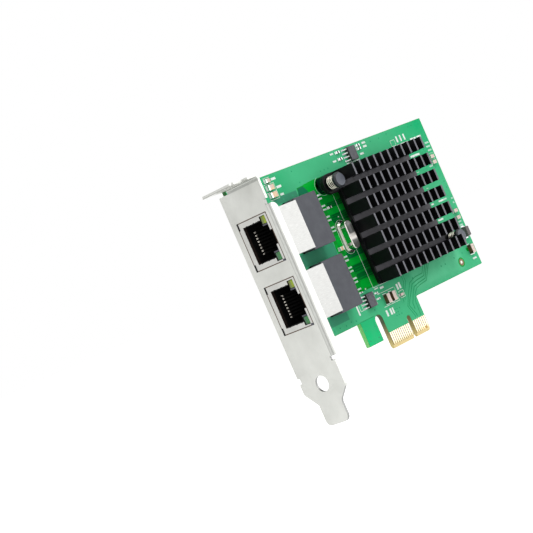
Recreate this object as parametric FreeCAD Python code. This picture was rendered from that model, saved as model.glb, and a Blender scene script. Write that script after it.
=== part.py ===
import FreeCAD, Part
import math
import os

Vector = FreeCAD.Vector

# Places are measured along the card from the outer face of the bracket (x),
# upwards from the tongue's lower edge (z), and outwards from the component side
# of the board (h, towards the viewer of that side).

# How far a cutter runs past what it cuts, how deep joined shapes overlap, and the smallest length
over = 1.0
overlap = 0.01
tiny = 1e-6

# Board
board_thickness = 1.57
board_left = 1.4
board_right = 105.5
board_top = 67.9
board_low = 12.25
board_corner = 0.4
step_corner = 0.4
leg_corner = 0.2

# Edge connector: tongue, key slot and contact fingers
key_x = 57.4
key_width = 1.9
key_top = 7.7
tongue_margin = 0.25
bevel_height = 1.1
bevel_depth = 0.45
finger_pitch = 1.0
finger_width = 0.7
finger_low = 1.15
finger_top = 5.4
finger_thickness = 0.05
key_margin = 0.55
left_fingers = 11
right_fingers = 7
short_finger_low = 1.9

# Guide leg beside the tongue
leg_width = 7.4
slot_width = 3.7
leg_low = 4.0
slot_top = 12.4

# Bracket sheet
sheet = 0.86
jack_to_flange = 1.73
bracket_top = 68.3
bracket_shoulder = 66.3
tab_width = 14.3
tab_depth = 11.43
tab_corner = 1.2
bend_inner = 0.5
notch_width = 4.42
notch_depth = 4.6
notch_from_end = 5.08
flange_low = 8.5
flange_top = 58.5
flange_depth = 3.6
flange_corner = 2.0
relief_low = 7.2
relief_high = 60.3
relief_depth = 1.0
lower_relief_depth = 2.0
relief_corner = 0.3
lower_edge_inset = 0.5
tongue_h_low = 1.7
tongue_h_high = 11.3
shoulder_z = -4.6
bracket_bottom = -11.7
shoulder_slope = 0.5
shoulder_drop = 1.0
shoulder_corner = 0.8
foot_corner = 2.0
nick_low = 3.4
nick_high = 5.2
nick_depth = 1.0
nick_corner = 0.4
round_hole_h = 6.6
round_hole_z = 1.5
round_hole_radius = 2.6
taper_start_left = -0.1
taper_start_right = -1.1
taper_corner = 1.0
fold_root = 2.0

# Ears and screws that hold the bracket to the board
ear_length = 9.0
ear_half_width = 3.2
ear_corner = 1.0
ear_z = (62.7, 15.7)
screw_to_ear_end = 3.6
screw_radius = 1.25
screw_hole_clearance = 0.15
screw_head_radius = 2.4
screw_head_height = 1.5
screw_head_round = 0.9
screw_tip = 0.5
recess_length = 2.6
recess_width = 0.6
recess_depth = 0.8

# Jacks
jack_z = (48.68, 27.34)
jack_width = 15.9
jack_height = 13.4
jack_depth = 14.7
jack_lift = 0.05
jack_gap = 0.15
shell_wall = 0.25
jack_floor = 1.9
jack_roof = 1.0
channel_height = 2.5
window_side = 0.6
window_step = 1.15
latch_half = 2.4
latch_slot_depth = 1.0
shell_tab_x = 9.8
shell_tab_width = 1.5
housing_gap = 0.05
housing_to_back = 2.5
cavity_side = 2.0
cavity_wall = 1.4
channel_half = 4.2
channel_stop = 2.3
peg_x = 5.2
peg_half_span = 5.7
peg_radius = 1.6
peg_clearance = 0.05
peg_root = 0.5
pin_end = 1.0

# Jack contacts
contact_count = 8
contact_pitch = 1.02
contact_width = 0.46
contact_thickness = 0.3
contact_front = 2.7
contact_floor = 1.15
contact_tip_to_wall = 1.6
contact_tip_h = 4.9
contact_row_to_end = 0.8
contact_row_gap = 2.5
contact_clearance = 0.04
pin_hole_clearance = 0.12

# Jack lamps
lamp_height = 2.4
lamp_width = 2.55
lamp_front = 0.35
lamp_round = 0.3
lamp_clearance = 0.05
lamp_lead_half_span = 0.64
lamp_lead_size = 0.45
lamp_lead_to_back = 1.5

# Transformers
transformer_z = (48.8, 26.95)
transformer_left = 22.1
transformer_width = 11.0
transformer_length = 17.6
transformer_top = 5.9
transformer_wall = 0.8
transformer_corner = 0.5
transformer_top_round = 0.2
carrier_low = 0.45
carrier_top = 1.35
transformer_lead_count = 12
transformer_lead_pitch = 1.27
transformer_lead_width = 0.5
transformer_lead_reach = 1.4
transformer_lead_shoulder = 1.05
transformer_pad_start = 0.4
transformer_pad_width = 0.7
core_gap = 0.85
core_wall = 0.9
core_head_room = 1.35
core_columns = 2
core_rows = 4

# Gull wing leads
lead_thickness = 0.22
lead_inset = 0.5
foot_length = 0.7
knee_share = 0.45
knee_offset = 0.13
heel_offset = 0.09

# Heat sink and what it cools
sink_left = 47.35
sink_low = 21.15
sink_size = 40.0
sink_base_low = 2.2
sink_base_top = 3.6
sink_top = 12.0
sink_corner = 1.0
fin_columns = 11
fin_rows = 7
fin_thickness = 0.8
fin_edge = 0.55
fin_root = 0.1
row_gap = 1.9
ear_reach_x = 3.3
sink_ear_radius = 3.4
package_half = 8.5
package_corner = 0.8
package_low = 0.5
package_substrate = 0.5
package_cap_inset = 0.6
pad_half = 7.5
pad_thickness = 0.2
ball_radius = 0.32
ball_pitch = 1.27
ball_rows = 11

# Push pins with their springs
pin_radius = 1.4
pin_clearance = 0.12
pin_head_radius = 2.6
pin_head_low = 7.0
pin_head_top = 8.4
pin_head_round = 0.5
barb_radius = 1.95
barb_seat = 0.05
barb_length = 2.4
barb_tip_radius = 0.9
barb_slot = 0.6
barb_slot_depth = 3.05
spring_wire = 0.3
spring_radius = 2.05
spring_turns = 4

# Crystal
crystal_x = 44.4
crystal_z = 39.9
crystal_can_length = 9.9
crystal_can_width = 3.4
crystal_top = 3.4
crystal_flange_length = 11.0
crystal_flange_width = 4.5
crystal_flange_low = 0.12
crystal_flange_top = 0.55
crystal_round = 0.35
crystal_pin_half_span = 2.44
crystal_pin_radius = 0.22

# Eight lead chips
chip_places = (("upper", 63.2, 64.75), ("lower", 42.3, 17.75))
chip_width = 3.9
chip_length = 4.9
chip_low = 0.15
chip_top = 1.65
chip_draft = 0.12
chip_lead_count = 4
chip_lead_pitch = 1.27
chip_lead_width = 0.42
chip_lead_reach = 1.05
chip_lead_shoulder = 0.95
chip_pad_start = 0.1
chip_pad_reach = 1.75
chip_pad_width = 0.64
dot_inset = 0.75
dot_radius = 0.35
dot_depth = 0.08

# Chip parts: x, z, length, width, height, direction of the length
big_capacitors = ((50.7, 15.75, 3.2, 1.65, 1.6, "z"), (53.75, 15.75, 3.2, 1.65, 1.6, "z"),
                  (102.2, 18.55, 3.2, 1.65, 1.7, "z"),
                  (20.2, 63.7, 2.6, 1.7, 1.1, "x"), (20.3, 61.15, 2.9, 1.7, 1.0, "x"))
small_capacitors = ((20.2, 66.05, 2.0, 1.25, 0.85, "x"), (39.9, 36.9, 2.0, 1.25, 0.85, "x"),
                    (102.7, 53.7, 2.0, 1.25, 0.9, "x"), (102.7, 51.6, 2.0, 1.25, 0.9, "x"),
                    (102.7, 33, 2.0, 1.25, 0.9, "x"), (102.7, 30.45, 2.0, 1.25, 0.9, "x"),
                    (58.3, 14.9, 1.6, 0.85, 0.8, "x"))
loose_resistors = ((42.8, 50.8, 1.6, 0.8, 0.5, "x"), (57.3, 66.7, 1.6, 0.8, 0.5, "x"),
                   (57.3, 64.3, 1.6, 0.8, 0.5, "x"), (68.3, 66.6, 1.6, 0.8, 0.5, "x"),
                   (68.3, 65.4, 1.6, 0.8, 0.5, "x"), (47.2, 19, 1.0, 0.5, 0.4, "x"),
                   (47.2, 17, 1.0, 0.5, 0.4, "x"))
termination_x = 40.45
termination_length = 1.0
termination_width = 0.5
termination_height = 0.4
cap_share = 0.22
cap_swell = 0.03
pad_height = 0.04
pad_overhang = 0.3
fillet_width = 0.22
fillet_share = 0.55

# Moulded capacitor near the right edge
moulded_x = 103.3
moulded_z = 24.8
moulded_length = 3.6
moulded_width = 2.1
moulded_top = 1.9
moulded_waist = 0.9
moulded_taper = 0.2
moulded_tab_width = 1.3
moulded_tab_thickness = 0.12
moulded_tab_reach = 0.9
moulded_pad_inside = 1.0
moulded_pad_outside = 0.5
moulded_pad_width = 1.7

# Plated hole and through hole joints
plated_x = 95.1
plated_z = 15.75
plated_bore = 0.6
plated_wall = 0.12
plated_ring = 1.2
plated_lip = 0.04
joint_gap = 0.04
joint_height = 0.7
joint_tip_radius = 0.36

# Worked out from the sizes above
back = -board_thickness
bracket_back_h = back - sheet
bracket_front_h = jack_height + jack_to_flange + sheet
bend_outer = bend_inner + sheet
screw_x = ear_length - screw_to_ear_end
tab_underside = bracket_top - sheet
window_low = jack_lift + jack_floor
window_high = jack_height - jack_roof
window_mid = window_high - channel_height
window_half_mid = jack_width / 2 - window_side
window_half_low = window_half_mid - window_step
cavity_half = jack_width / 2 - cavity_side
housing_end = jack_depth - housing_to_back
cavity_end = housing_end - cavity_wall
channel_end = cavity_end - channel_stop
contact_tip_x = cavity_end - contact_tip_to_wall
contact_rear_row = housing_end - contact_row_to_end
contact_rows = (contact_rear_row - contact_row_gap, contact_rear_row)
lamp_lead_x = jack_depth - lamp_lead_to_back
transformer_right = transformer_left + transformer_width
first_finger_offset = key_width / 2 + key_margin
finger_to_edge = finger_width / 2 + tongue_margin
tongue_left = key_x - first_finger_offset - (left_fingers - 1) * finger_pitch - finger_to_edge
tongue_right = key_x + first_finger_offset + (right_fingers - 1) * finger_pitch + finger_to_edge
leg_right = tongue_left - slot_width
leg_left = leg_right - leg_width
sink_right = sink_left + sink_size
sink_high = sink_low + sink_size
push_pin_places = ((sink_left - ear_reach_x, sink_high - sink_ear_radius),
                   (sink_right + ear_reach_x, sink_low + sink_ear_radius))
sink_centre = (sink_left + sink_size / 2, sink_low + sink_size / 2)
pin_low = back - pin_end
joint_radius = lamp_lead_half_span - joint_gap


def at(x, z, h):
    """The point x along the card, z up and h out from the component side."""
    return Vector(x, -h, z)


def block(x0, x1, z0, z1, h0, h1):
    """A box between two places along each direction."""
    return Part.makeBox(x1 - x0, h1 - h0, z1 - z0, at(x0, z0, h1))


def disc(x, z, h0, h1, radius):
    """A cylinder that stands on the board."""
    return Part.makeCylinder(radius, h1 - h0, at(x, z, h0), Vector(0, -1, 0))


def rounded_wire(corners, place):
    """A closed outline through corners (a, b, radius), each rounded by its radius."""
    count = len(corners)
    starts, ends, middles = [], [], []
    for index, (a, b, radius) in enumerate(corners):
        corner = Vector(a, b, 0)
        before = Vector(*corners[index - 1][:2], 0) - corner
        after = Vector(*corners[(index + 1) % count][:2], 0) - corner
        before.normalize()
        after.normalize()
        half = before.getAngle(after) / 2
        if radius > 0:
            reach = radius / math.tan(half)
            bisector = before + after
            bisector.normalize()
            centre = corner + bisector * (radius / math.sin(half))
            middles.append(centre - bisector * radius)
            starts.append(corner + before * reach)
            ends.append(corner + after * reach)
        else:
            middles.append(None)
            starts.append(corner)
            ends.append(corner)
    edges = []
    for index in range(count):
        if middles[index] is not None:
            points = [place(p.x, p.y) for p in (starts[index], middles[index], ends[index])]
            edges.append(Part.Arc(*points).toShape())
        follower = starts[(index + 1) % count]
        if (follower - ends[index]).Length > tiny:
            line = Part.LineSegment(place(ends[index].x, ends[index].y), place(follower.x, follower.y))
            edges.append(line.toShape())
    return Part.Wire(edges)


def plate(corners, h0, h1):
    """A flat piece parallel to the board, from corners (x, z, radius)."""
    wire = rounded_wire(corners, lambda x, z: at(x, z, h0))
    return Part.Face(wire).extrude(at(0, 0, h1 - h0))


def cross_plate(corners, x0, x1):
    """A flat piece parallel to the bracket face, from corners (h, z, radius)."""
    wire = rounded_wire(corners, lambda h, z: at(x0, z, h))
    return Part.Face(wire).extrude(Vector(x1 - x0, 0, 0))


def profile(corners, z0, z1):
    """A section (x, h, radius) drawn out along z."""
    wire = rounded_wire(corners, lambda x, h: at(x, z0, h))
    return Part.Face(wire).extrude(Vector(0, 0, z1 - z0))


def rectangle(a0, a1, b0, b1, radius=0.0):
    """The four corners of a rectangle."""
    return [(a0, b0, radius), (a1, b0, radius), (a1, b1, radius), (a0, b1, radius)]


def fused(shapes):
    """Touching pieces made into one clean solid."""
    first, rest = shapes[0], shapes[1:]
    return first.multiFuse(rest).removeSplitter() if rest else first


def edges_at(shape, height):
    """The edges of a shape that lie flat at one height above the board."""
    level = []
    for edge in shape.Edges:
        box = edge.BoundBox
        if abs(box.YMin + height) < tiny and abs(box.YMax + height) < tiny:
            level.append(edge)
    return level


def save(node, solids):
    """Write one sub-part, moved so that the origin lies at the key, mid board."""
    group = Part.makeCompound([solid for shape in solids for solid in shape.Solids])
    group.translate(Vector(-key_x, -board_thickness / 2, 0))
    group.exportStep(os.path.join("parts", node + ".step"))
    print(node, len(group.Solids), "solids", "valid" if group.isValid() else "not valid")


def spread(count, pitch):
    """Even places about zero."""
    return [(index - (count - 1) / 2) * pitch for index in range(count)]


def contact_pins(centre_z):
    """The place (x, z) where each jack contact goes through the board."""
    offsets = spread(contact_count, contact_pitch)
    return [(contact_rows[index % 2], centre_z + offset) for index, offset in enumerate(offsets)]


def lamp_centres(centre_z):
    """The middle of the two lamps of a jack: the upper one and the lower one."""
    reach = window_half_mid - lamp_clearance - lamp_width / 2
    return (centre_z + reach, centre_z - reach)


def lamp_pins(centre_z):
    """The place (x, z) of each lamp lead of a jack."""
    sides = (-lamp_lead_half_span, lamp_lead_half_span)
    return [(lamp_lead_x, lamp_z + side) for lamp_z in lamp_centres(centre_z) for side in sides]


def shell_tab_places(centre_z):
    """The middle of each grounding tab of a jack shell."""
    reach = (jack_width - shell_wall) / 2
    return [(shell_tab_x, centre_z - reach), (shell_tab_x, centre_z + reach)]


def crystal_pins():
    """The place of each crystal pin."""
    return [(crystal_x, crystal_z - crystal_pin_half_span), (crystal_x, crystal_z + crystal_pin_half_span)]


def make_board():
    """The circuit board with its tongue, key slot, leg and every hole."""
    half_key = key_width / 2
    half_slot = slot_width / 2
    corners = [
        (board_left, board_low, board_corner),
        (leg_left, board_low, step_corner),
        (leg_left, leg_low, leg_corner),
        (leg_right, leg_low, leg_corner),
        (leg_right, slot_top, half_slot),
        (tongue_left, slot_top, half_slot),
        (tongue_left, 0, step_corner),
        (key_x - half_key, 0, 0),
        (key_x - half_key, key_top, half_key),
        (key_x + half_key, key_top, half_key),
        (key_x + half_key, 0, 0),
        (tongue_right, 0, step_corner),
        (tongue_right, board_low, step_corner),
        (board_right, board_low, board_corner),
        (board_right, board_top, board_corner),
        (board_left, board_top, board_corner),
    ]
    board = plate(corners, back, 0)
    cutters = []
    for face_h, inwards in ((0, -1), (back, 1)):
        deep = face_h + inwards * bevel_depth
        section = [(face_h, bevel_height), (deep, 0), (deep, -over), (face_h - inwards, -over),
                   (face_h - inwards, bevel_height)]
        points = [at(tongue_left - over, z, h) for h, z in section]
        wedge = Part.Face(Part.makePolygon(points + points[:1]))
        cutters.append(wedge.extrude(Vector(tongue_right - tongue_left + 2 * over, 0, 0)))
    holes = [(screw_x, z, screw_radius + screw_hole_clearance) for z in ear_z]
    holes += [(x, z, pin_radius + pin_clearance) for x, z in push_pin_places]
    holes += [(x, z, crystal_pin_radius + pin_hole_clearance) for x, z in crystal_pins()]
    holes += [(plated_x, plated_z, plated_bore + plated_wall)]
    contact_hole = math.hypot(contact_width, contact_thickness) / 2 + pin_hole_clearance
    lamp_hole = lamp_lead_size * math.sqrt(0.5) + pin_hole_clearance
    tab_hole = shell_tab_width / 2 + pin_hole_clearance
    for centre_z in jack_z:
        holes += [(x, z, contact_hole) for x, z in contact_pins(centre_z)]
        holes += [(x, z, lamp_hole) for x, z in lamp_pins(centre_z)]
        holes += [(x, z, tab_hole) for x, z in shell_tab_places(centre_z)]
        for side in (-peg_half_span, peg_half_span):
            holes.append((peg_x, centre_z + side, peg_radius + peg_clearance))
    cutters += [disc(x, z, back - over, over, radius) for x, z, radius in holes]
    return board.cut(Part.makeCompound(cutters))


def make_fingers(h0, h1, short_index):
    """The row of contact fingers on one side of the tongue."""
    places = [key_x - first_finger_offset - index * finger_pitch for index in range(left_fingers)]
    places.reverse()
    places += [key_x + first_finger_offset + index * finger_pitch for index in range(right_fingers)]
    fingers = []
    for index, x in enumerate(places):
        low = short_finger_low if index == short_index else finger_low
        fingers.append(block(x - finger_width / 2, x + finger_width / 2, low, finger_top, h0, h1))
    return fingers


def make_bracket():
    """The folded sheet: face, outward tab, stiffening flange and the two board ears."""
    left, right = bracket_back_h, bracket_front_h
    lower_right = right - lower_edge_inset
    corners = [
        (left, bracket_shoulder, step_corner),
        (right, bracket_shoulder, 0),
        (right, relief_high, 0),
        (right - relief_depth, relief_high, relief_corner),
        (right - relief_depth, flange_top, relief_corner),
        (right, flange_top, 0),
        (right, flange_low, 0),
        (right - lower_relief_depth, flange_low, relief_corner),
        (right - lower_relief_depth, relief_low, relief_corner),
        (lower_right, relief_low, relief_corner),
        (lower_right, taper_start_right, taper_corner),
        (tongue_h_high + shoulder_slope, shoulder_z, shoulder_corner),
        (tongue_h_high, shoulder_z - shoulder_drop, nick_corner),
        (tongue_h_high, bracket_bottom, foot_corner),
        (tongue_h_low, bracket_bottom, foot_corner),
        (tongue_h_low, shoulder_z, shoulder_corner),
        (left, taper_start_left, taper_corner),
        (left, nick_low, nick_corner),
        (left + nick_depth, nick_low, nick_corner),
        (left + nick_depth, nick_high, nick_corner),
        (left, nick_high, nick_corner),
    ]
    face = cross_plate(corners, 0, sheet)
    fold = [
        (0, bracket_shoulder - fold_root, 0),
        (0, tab_underside, bend_inner),
        (-tab_depth, tab_underside, 0),
        (-tab_depth, bracket_top, 0),
        (sheet, bracket_top, bend_outer),
        (sheet, bracket_shoulder - fold_root, 0),
    ]
    fold_wire = rounded_wire(fold, lambda x, z: at(x, z, right))
    tab = Part.Face(fold_wire).extrude(at(0, 0, -tab_width))
    end = [(-tab_depth, right, tab_corner), (2 * sheet, right, 0), (2 * sheet, right - tab_width, 0),
           (-tab_depth, right - tab_width, tab_corner)]
    end_low = bracket_shoulder - fold_root - over
    end_wire = rounded_wire(end, lambda x, h: at(x, end_low, h))
    tab = tab.common(Part.Face(end_wire).extrude(Vector(0, 0, bracket_top + over - end_low)))
    notch_x = notch_from_end - tab_depth
    notch_centre = right - notch_depth + notch_width / 2
    notch_half = notch_width / 2
    notch_low, notch_high = tab_underside - over, bracket_top + over
    notch = block(notch_x - notch_half, notch_x + notch_half, notch_low, notch_high,
                  notch_centre, right + over)
    notch_end = Part.makeCylinder(notch_half, notch_high - notch_low, at(notch_x, notch_low, notch_centre))
    tab = tab.cut(notch.fuse(notch_end))
    flange_root = right - bend_outer - over
    flange_section = [(0, flange_root, 0), (0, right, bend_outer), (flange_depth, right, 0),
                      (flange_depth, right - sheet, 0), (sheet, right - sheet, bend_inner),
                      (sheet, flange_root, 0)]
    flange = profile(flange_section, flange_low, flange_top)
    side = [(0, flange_low, 0), (flange_depth, flange_low, flange_corner),
            (flange_depth, flange_top, flange_corner), (0, flange_top, 0)]
    flange = flange.common(plate(side, flange_root - over, right + over))
    outside = block(-over, bend_outer, flange_low, flange_top, right - bend_outer, right + over)
    bend_foot = at(bend_outer, flange_low, right - bend_outer)
    round_part = Part.makeCylinder(bend_outer, flange_top - flange_low, bend_foot)
    face = face.cut(outside.cut(round_part))
    pieces = [face, tab, flange]
    for z in ear_z:
        ear_corners = [(0, z - ear_half_width, 0), (ear_length, z - ear_half_width, ear_corner),
                       (ear_length, z + ear_half_width, ear_corner), (0, z + ear_half_width, 0)]
        ear = plate(ear_corners, back - sheet, back)
        pieces.append(ear.cut(disc(screw_x, z, back - sheet - over, back + over, screw_radius)))
    bracket = fused(pieces)
    hole_start = at(-over, round_hole_z, round_hole_h)
    cutters = [Part.makeCylinder(round_hole_radius, sheet + 2 * over, hole_start, Vector(1, 0, 0))]
    for centre_z in jack_z:
        half = jack_width / 2 + jack_gap
        low, high = jack_lift - jack_gap, jack_height + jack_gap
        cutters.append(block(-over, sheet + over, centre_z - half, centre_z + half, low, high))
    return bracket.cut(Part.makeCompound(cutters))


def make_screw(z):
    """A cross recessed pan head screw: head on the component side, tip in the bracket ear."""
    shank = disc(screw_x, z, back - sheet - screw_tip, 0, screw_radius)
    head = disc(screw_x, z, 0, screw_head_height, screw_head_radius)
    head = head.makeFillet(screw_head_round, edges_at(head, screw_head_height))
    low, high = screw_head_height - recess_depth, screw_head_height + over
    long_half, wide_half = recess_length / 2, recess_width / 2
    across = block(screw_x - long_half, screw_x + long_half, z - wide_half, z + wide_half, low, high)
    upright = block(screw_x - wide_half, screw_x + wide_half, z - long_half, z + long_half, low, high)
    return shank.fuse(head).removeSplitter().cut(across.fuse(upright))


def make_shell(centre_z):
    """The folded metal shell of a jack, open towards the board."""
    half = jack_width / 2
    outer = block(0, jack_depth, centre_z - half, centre_z + half, jack_lift, jack_height)
    hollow = block(shell_wall, jack_depth - shell_wall, centre_z - half + shell_wall,
                   centre_z + half - shell_wall, jack_lift - over, jack_height - shell_wall)
    shell = outer.cut(hollow)
    windows = block(-over, shell_wall + over, centre_z - window_half_low, centre_z + window_half_low,
                    window_low, window_mid + overlap)
    middle = block(-over, shell_wall + over, centre_z - window_half_mid, centre_z + window_half_mid,
                   window_mid, window_high)
    latch = block(-over, latch_slot_depth, centre_z - latch_half, centre_z + latch_half,
                  window_high - overlap, jack_height + over)
    shell = shell.cut(windows.multiFuse([middle, latch]))
    tabs = [block(x - shell_tab_width / 2, x + shell_tab_width / 2, z - shell_wall / 2, z + shell_wall / 2,
                  pin_low, jack_lift + shell_wall) for x, z in shell_tab_places(centre_z)]
    return fused([shell] + tabs)


def make_contact(x, z, grow=0.0):
    """One jack contact: pin through the board, run along the floor and the sprung arm."""
    half = contact_width / 2 + grow
    thick = contact_thickness / 2 + grow
    pin = block(x - thick, x + thick, z - half, z + half, pin_low, contact_floor + thick)
    run = block(contact_front - thick, x, z - half, z + half, contact_floor - thick, contact_floor + thick)
    rise = contact_tip_h - contact_floor
    reach = contact_tip_x - contact_front
    length = math.hypot(rise, reach)
    arm = block(0, length, z - half, z + half, -thick, thick)
    arm.rotate(Vector(0, 0, z), Vector(0, 0, 1), -math.degrees(math.atan2(rise, reach)))
    arm.translate(at(contact_front, 0, contact_floor))
    return fused([pin, run, arm])


def make_housing(centre_z):
    """The plastic insert of a jack with its plug cavity, lamp pockets and pegs."""
    inset = shell_wall + housing_gap
    half = jack_width / 2 - inset
    body = block(inset, housing_end, centre_z - half, centre_z + half, jack_lift, jack_height - inset)
    cavity = block(0, cavity_end, centre_z - cavity_half, centre_z + cavity_half,
                   window_low, window_mid + overlap)
    channel = block(0, channel_end, centre_z - channel_half, centre_z + channel_half, window_mid, window_high)
    latch = block(0, channel_end, centre_z - latch_half, centre_z + latch_half,
                  window_high - overlap, jack_height)
    cutters = [cavity, channel, latch]
    for lamp_z in lamp_centres(centre_z):
        reach = lamp_width / 2 + lamp_clearance
        cutters.append(block(0, housing_end + over, lamp_z - reach, lamp_z + reach,
                             window_high - lamp_height - lamp_clearance, window_high + lamp_clearance))
    body = body.cut(cutters[0].multiFuse(cutters[1:]))
    for x, z in contact_pins(centre_z):
        body = body.cut(make_contact(x, z, contact_clearance))
    pegs = [disc(peg_x, centre_z + side, back, jack_lift + peg_root, peg_radius)
            for side in (-peg_half_span, peg_half_span)]
    return fused([body] + pegs)


def make_lamp(lamp_z):
    """The clear body of one lamp, rounded at its mouth."""
    low, high = window_high - lamp_height, window_high
    body = block(lamp_front, housing_end, lamp_z - lamp_width / 2, lamp_z + lamp_width / 2, low, high)
    front = [edge for edge in body.Edges if edge.BoundBox.XMax < lamp_front + tiny]
    return body.makeFillet(lamp_round, front)


def make_lamp_leads(centre_z):
    """Four lamp leads of a jack, from the lamps down through the board."""
    half = lamp_lead_size / 2
    lead_h = window_high - lamp_height / 2
    leads = []
    for x, z in lamp_pins(centre_z):
        run = block(housing_end, x + half, z - half, z + half, lead_h - half, lead_h + half)
        drop = block(x - half, x + half, z - half, z + half, pin_low, lead_h + half)
        leads.append(fused([run, drop]))
    return leads


def gull_lead(body_x, side, z, width, shoulder, reach):
    """A gull wing lead that leaves a body wall at body_x and stands on the board."""
    inside = body_x - side * lead_inset
    tip = body_x + side * reach
    heel = tip - side * foot_length
    knee = body_x + side * (reach - foot_length) * knee_share
    foot_top, under = pad_height + lead_thickness, shoulder - lead_thickness
    points = [(inside, shoulder), (knee, shoulder), (heel, foot_top), (tip, foot_top), (tip, pad_height),
              (heel - side * heel_offset, pad_height), (knee - side * knee_offset, under), (inside, under)]
    corners = [at(x, z - width / 2, h) for x, h in points]
    face = Part.Face(Part.makePolygon(corners + corners[:1]))
    return face.extrude(Vector(0, 0, width))


def transformer_lead_places(centre_z):
    """Wall place, side and height along the card of each transformer lead."""
    offsets = spread(transformer_lead_count, transformer_lead_pitch)
    walls = ((transformer_left, -1), (transformer_right, 1))
    return [(x, side, centre_z + offset) for x, side in walls for offset in offsets]


def make_transformer(name, centre_z):
    """One transformer module: moulded case, carrier, ring cores and leads."""
    low, high = centre_z - transformer_length / 2, centre_z + transformer_length / 2
    outline = rectangle(transformer_left, transformer_right, low, high, transformer_corner)
    case = plate(outline, carrier_top, transformer_top)
    case = case.makeFillet(transformer_top_round, edges_at(case, transformer_top))
    wall = transformer_wall
    hollow = block(transformer_left + wall, transformer_right - wall, low + wall, high - wall,
                   carrier_top - over, transformer_top - wall)
    save("transformer_case_" + name, [case.cut(hollow)])
    leads = [gull_lead(x, side, z, transformer_lead_width, transformer_lead_shoulder, transformer_lead_reach)
             for x, side, z in transformer_lead_places(centre_z)]
    carrier = plate(outline, carrier_low, carrier_top)
    save("transformer_carrier_" + name, [carrier.cut(Part.makeCompound(leads))])
    save("transformer_leads_" + name, leads)
    inner_width, inner_length = transformer_width - 2 * wall, transformer_length - 2 * wall
    radius = (inner_width - (core_columns + 1) * core_gap) / core_columns / 2
    row_space = (inner_length - core_rows * 2 * radius) / (core_rows + 1)
    core_top = transformer_top - wall - core_head_room
    cores = []
    for across in spread(core_columns, 2 * radius + core_gap):
        for along in spread(core_rows, 2 * radius + row_space):
            x, z = transformer_left + transformer_width / 2 + across, centre_z + along
            ring = disc(x, z, carrier_top, core_top, radius)
            cores.append(ring.cut(disc(x, z, carrier_top - over, core_top + over, radius - core_wall)))
    save("transformer_cores_" + name, cores)


def make_sink():
    """The heat sink: base with two ears, and rows of fins cut across."""
    outline = rectangle(sink_left, sink_right, sink_low, sink_high, sink_corner)
    base = plate(outline, sink_base_low, sink_base_top)
    solids = [base]
    for (x, z), inwards in zip(push_pin_places, (1, -1)):
        reach = x + inwards * (ear_reach_x + sink_corner)
        bridge = block(min(x, reach), max(x, reach), z - sink_ear_radius, z + sink_ear_radius,
                       sink_base_low, sink_base_top)
        solids += [disc(x, z, sink_base_low, sink_base_top, sink_ear_radius), bridge]
    fin_pitch = (sink_size - 2 * fin_edge - fin_thickness) / (fin_columns - 1)
    for index in range(fin_columns):
        x = sink_left + fin_edge + index * fin_pitch
        solids.append(block(x, x + fin_thickness, sink_low, sink_high, sink_base_top - fin_root, sink_top))
    sink = fused(solids)
    row_length = (sink_size - (fin_rows - 1) * row_gap) / fin_rows
    cuts = []
    for index in range(1, fin_rows):
        low = sink_low + index * (row_length + row_gap) - row_gap
        cuts.append(block(sink_left - over, sink_right + over, low, low + row_gap,
                          sink_base_top, sink_top + over))
    cuts += [disc(x, z, sink_base_low - over, sink_base_top + over, pin_radius + pin_clearance)
             for x, z in push_pin_places]
    return sink.cut(Part.makeCompound(cuts))


def make_push_pin(x, z):
    """A plastic push pin: round head, shaft through ear and board, split barb behind."""
    seat = back - barb_seat
    tip = seat - barb_length
    points = [(0, pin_head_top), (pin_head_radius - pin_head_round, pin_head_top),
              (pin_head_radius, pin_head_top - pin_head_round), (pin_head_radius, pin_head_low),
              (pin_radius, pin_head_low), (pin_radius, seat), (barb_radius, seat),
              (barb_tip_radius, tip), (0, tip)]
    corners = [at(x + radius, z, h) for radius, h in points]
    section = Part.Face(Part.makePolygon(corners + corners[:1]))
    pin = section.revolve(at(x, z, 0), Vector(0, 1, 0), 360)
    slot = block(x - barb_slot / 2, x + barb_slot / 2, z - barb_radius - over, z + barb_radius + over,
                 tip - over, tip + barb_slot_depth)
    return pin.cut(slot)


def make_spring(x, z):
    """The coil spring between a heat sink ear and a pin head, swept turn by turn."""
    low = sink_base_top + spring_wire
    height = pin_head_low - sink_base_top - 2 * spring_wire
    helix = Part.makeLongHelix(height / spring_turns, height, spring_radius)
    circle = Part.makeCircle(spring_wire, Vector(spring_radius, 0, 0), Vector(0, 1, 0))
    coil = Part.Wire(helix).makePipeShell([Part.Wire(circle)], True, True)
    coil.rotate(Vector(0, 0, 0), Vector(1, 0, 0), 90)
    coil.translate(at(x, z, low))
    return coil


def capsule(length, width, h0, h1):
    """The long rounded body of the crystal."""
    half_length, half_width = length / 2, width / 2
    return plate(rectangle(crystal_x - half_width, crystal_x + half_width, crystal_z - half_length,
                           crystal_z + half_length, half_width), h0, h1)


def make_crystal():
    """The metal can of the crystal, its flange and its two pins."""
    can = capsule(crystal_can_length, crystal_can_width, crystal_flange_top, crystal_top)
    save("crystal_can", [can.makeFillet(crystal_round, edges_at(can, crystal_top))])
    flange = capsule(crystal_flange_length, crystal_flange_width, crystal_flange_low, crystal_flange_top)
    pins = [disc(x, z, pin_low, crystal_flange_top, crystal_pin_radius) for x, z in crystal_pins()]
    save("crystal_flange", [flange.cut(Part.makeCompound(pins))])
    save("crystal_pins", pins)


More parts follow.
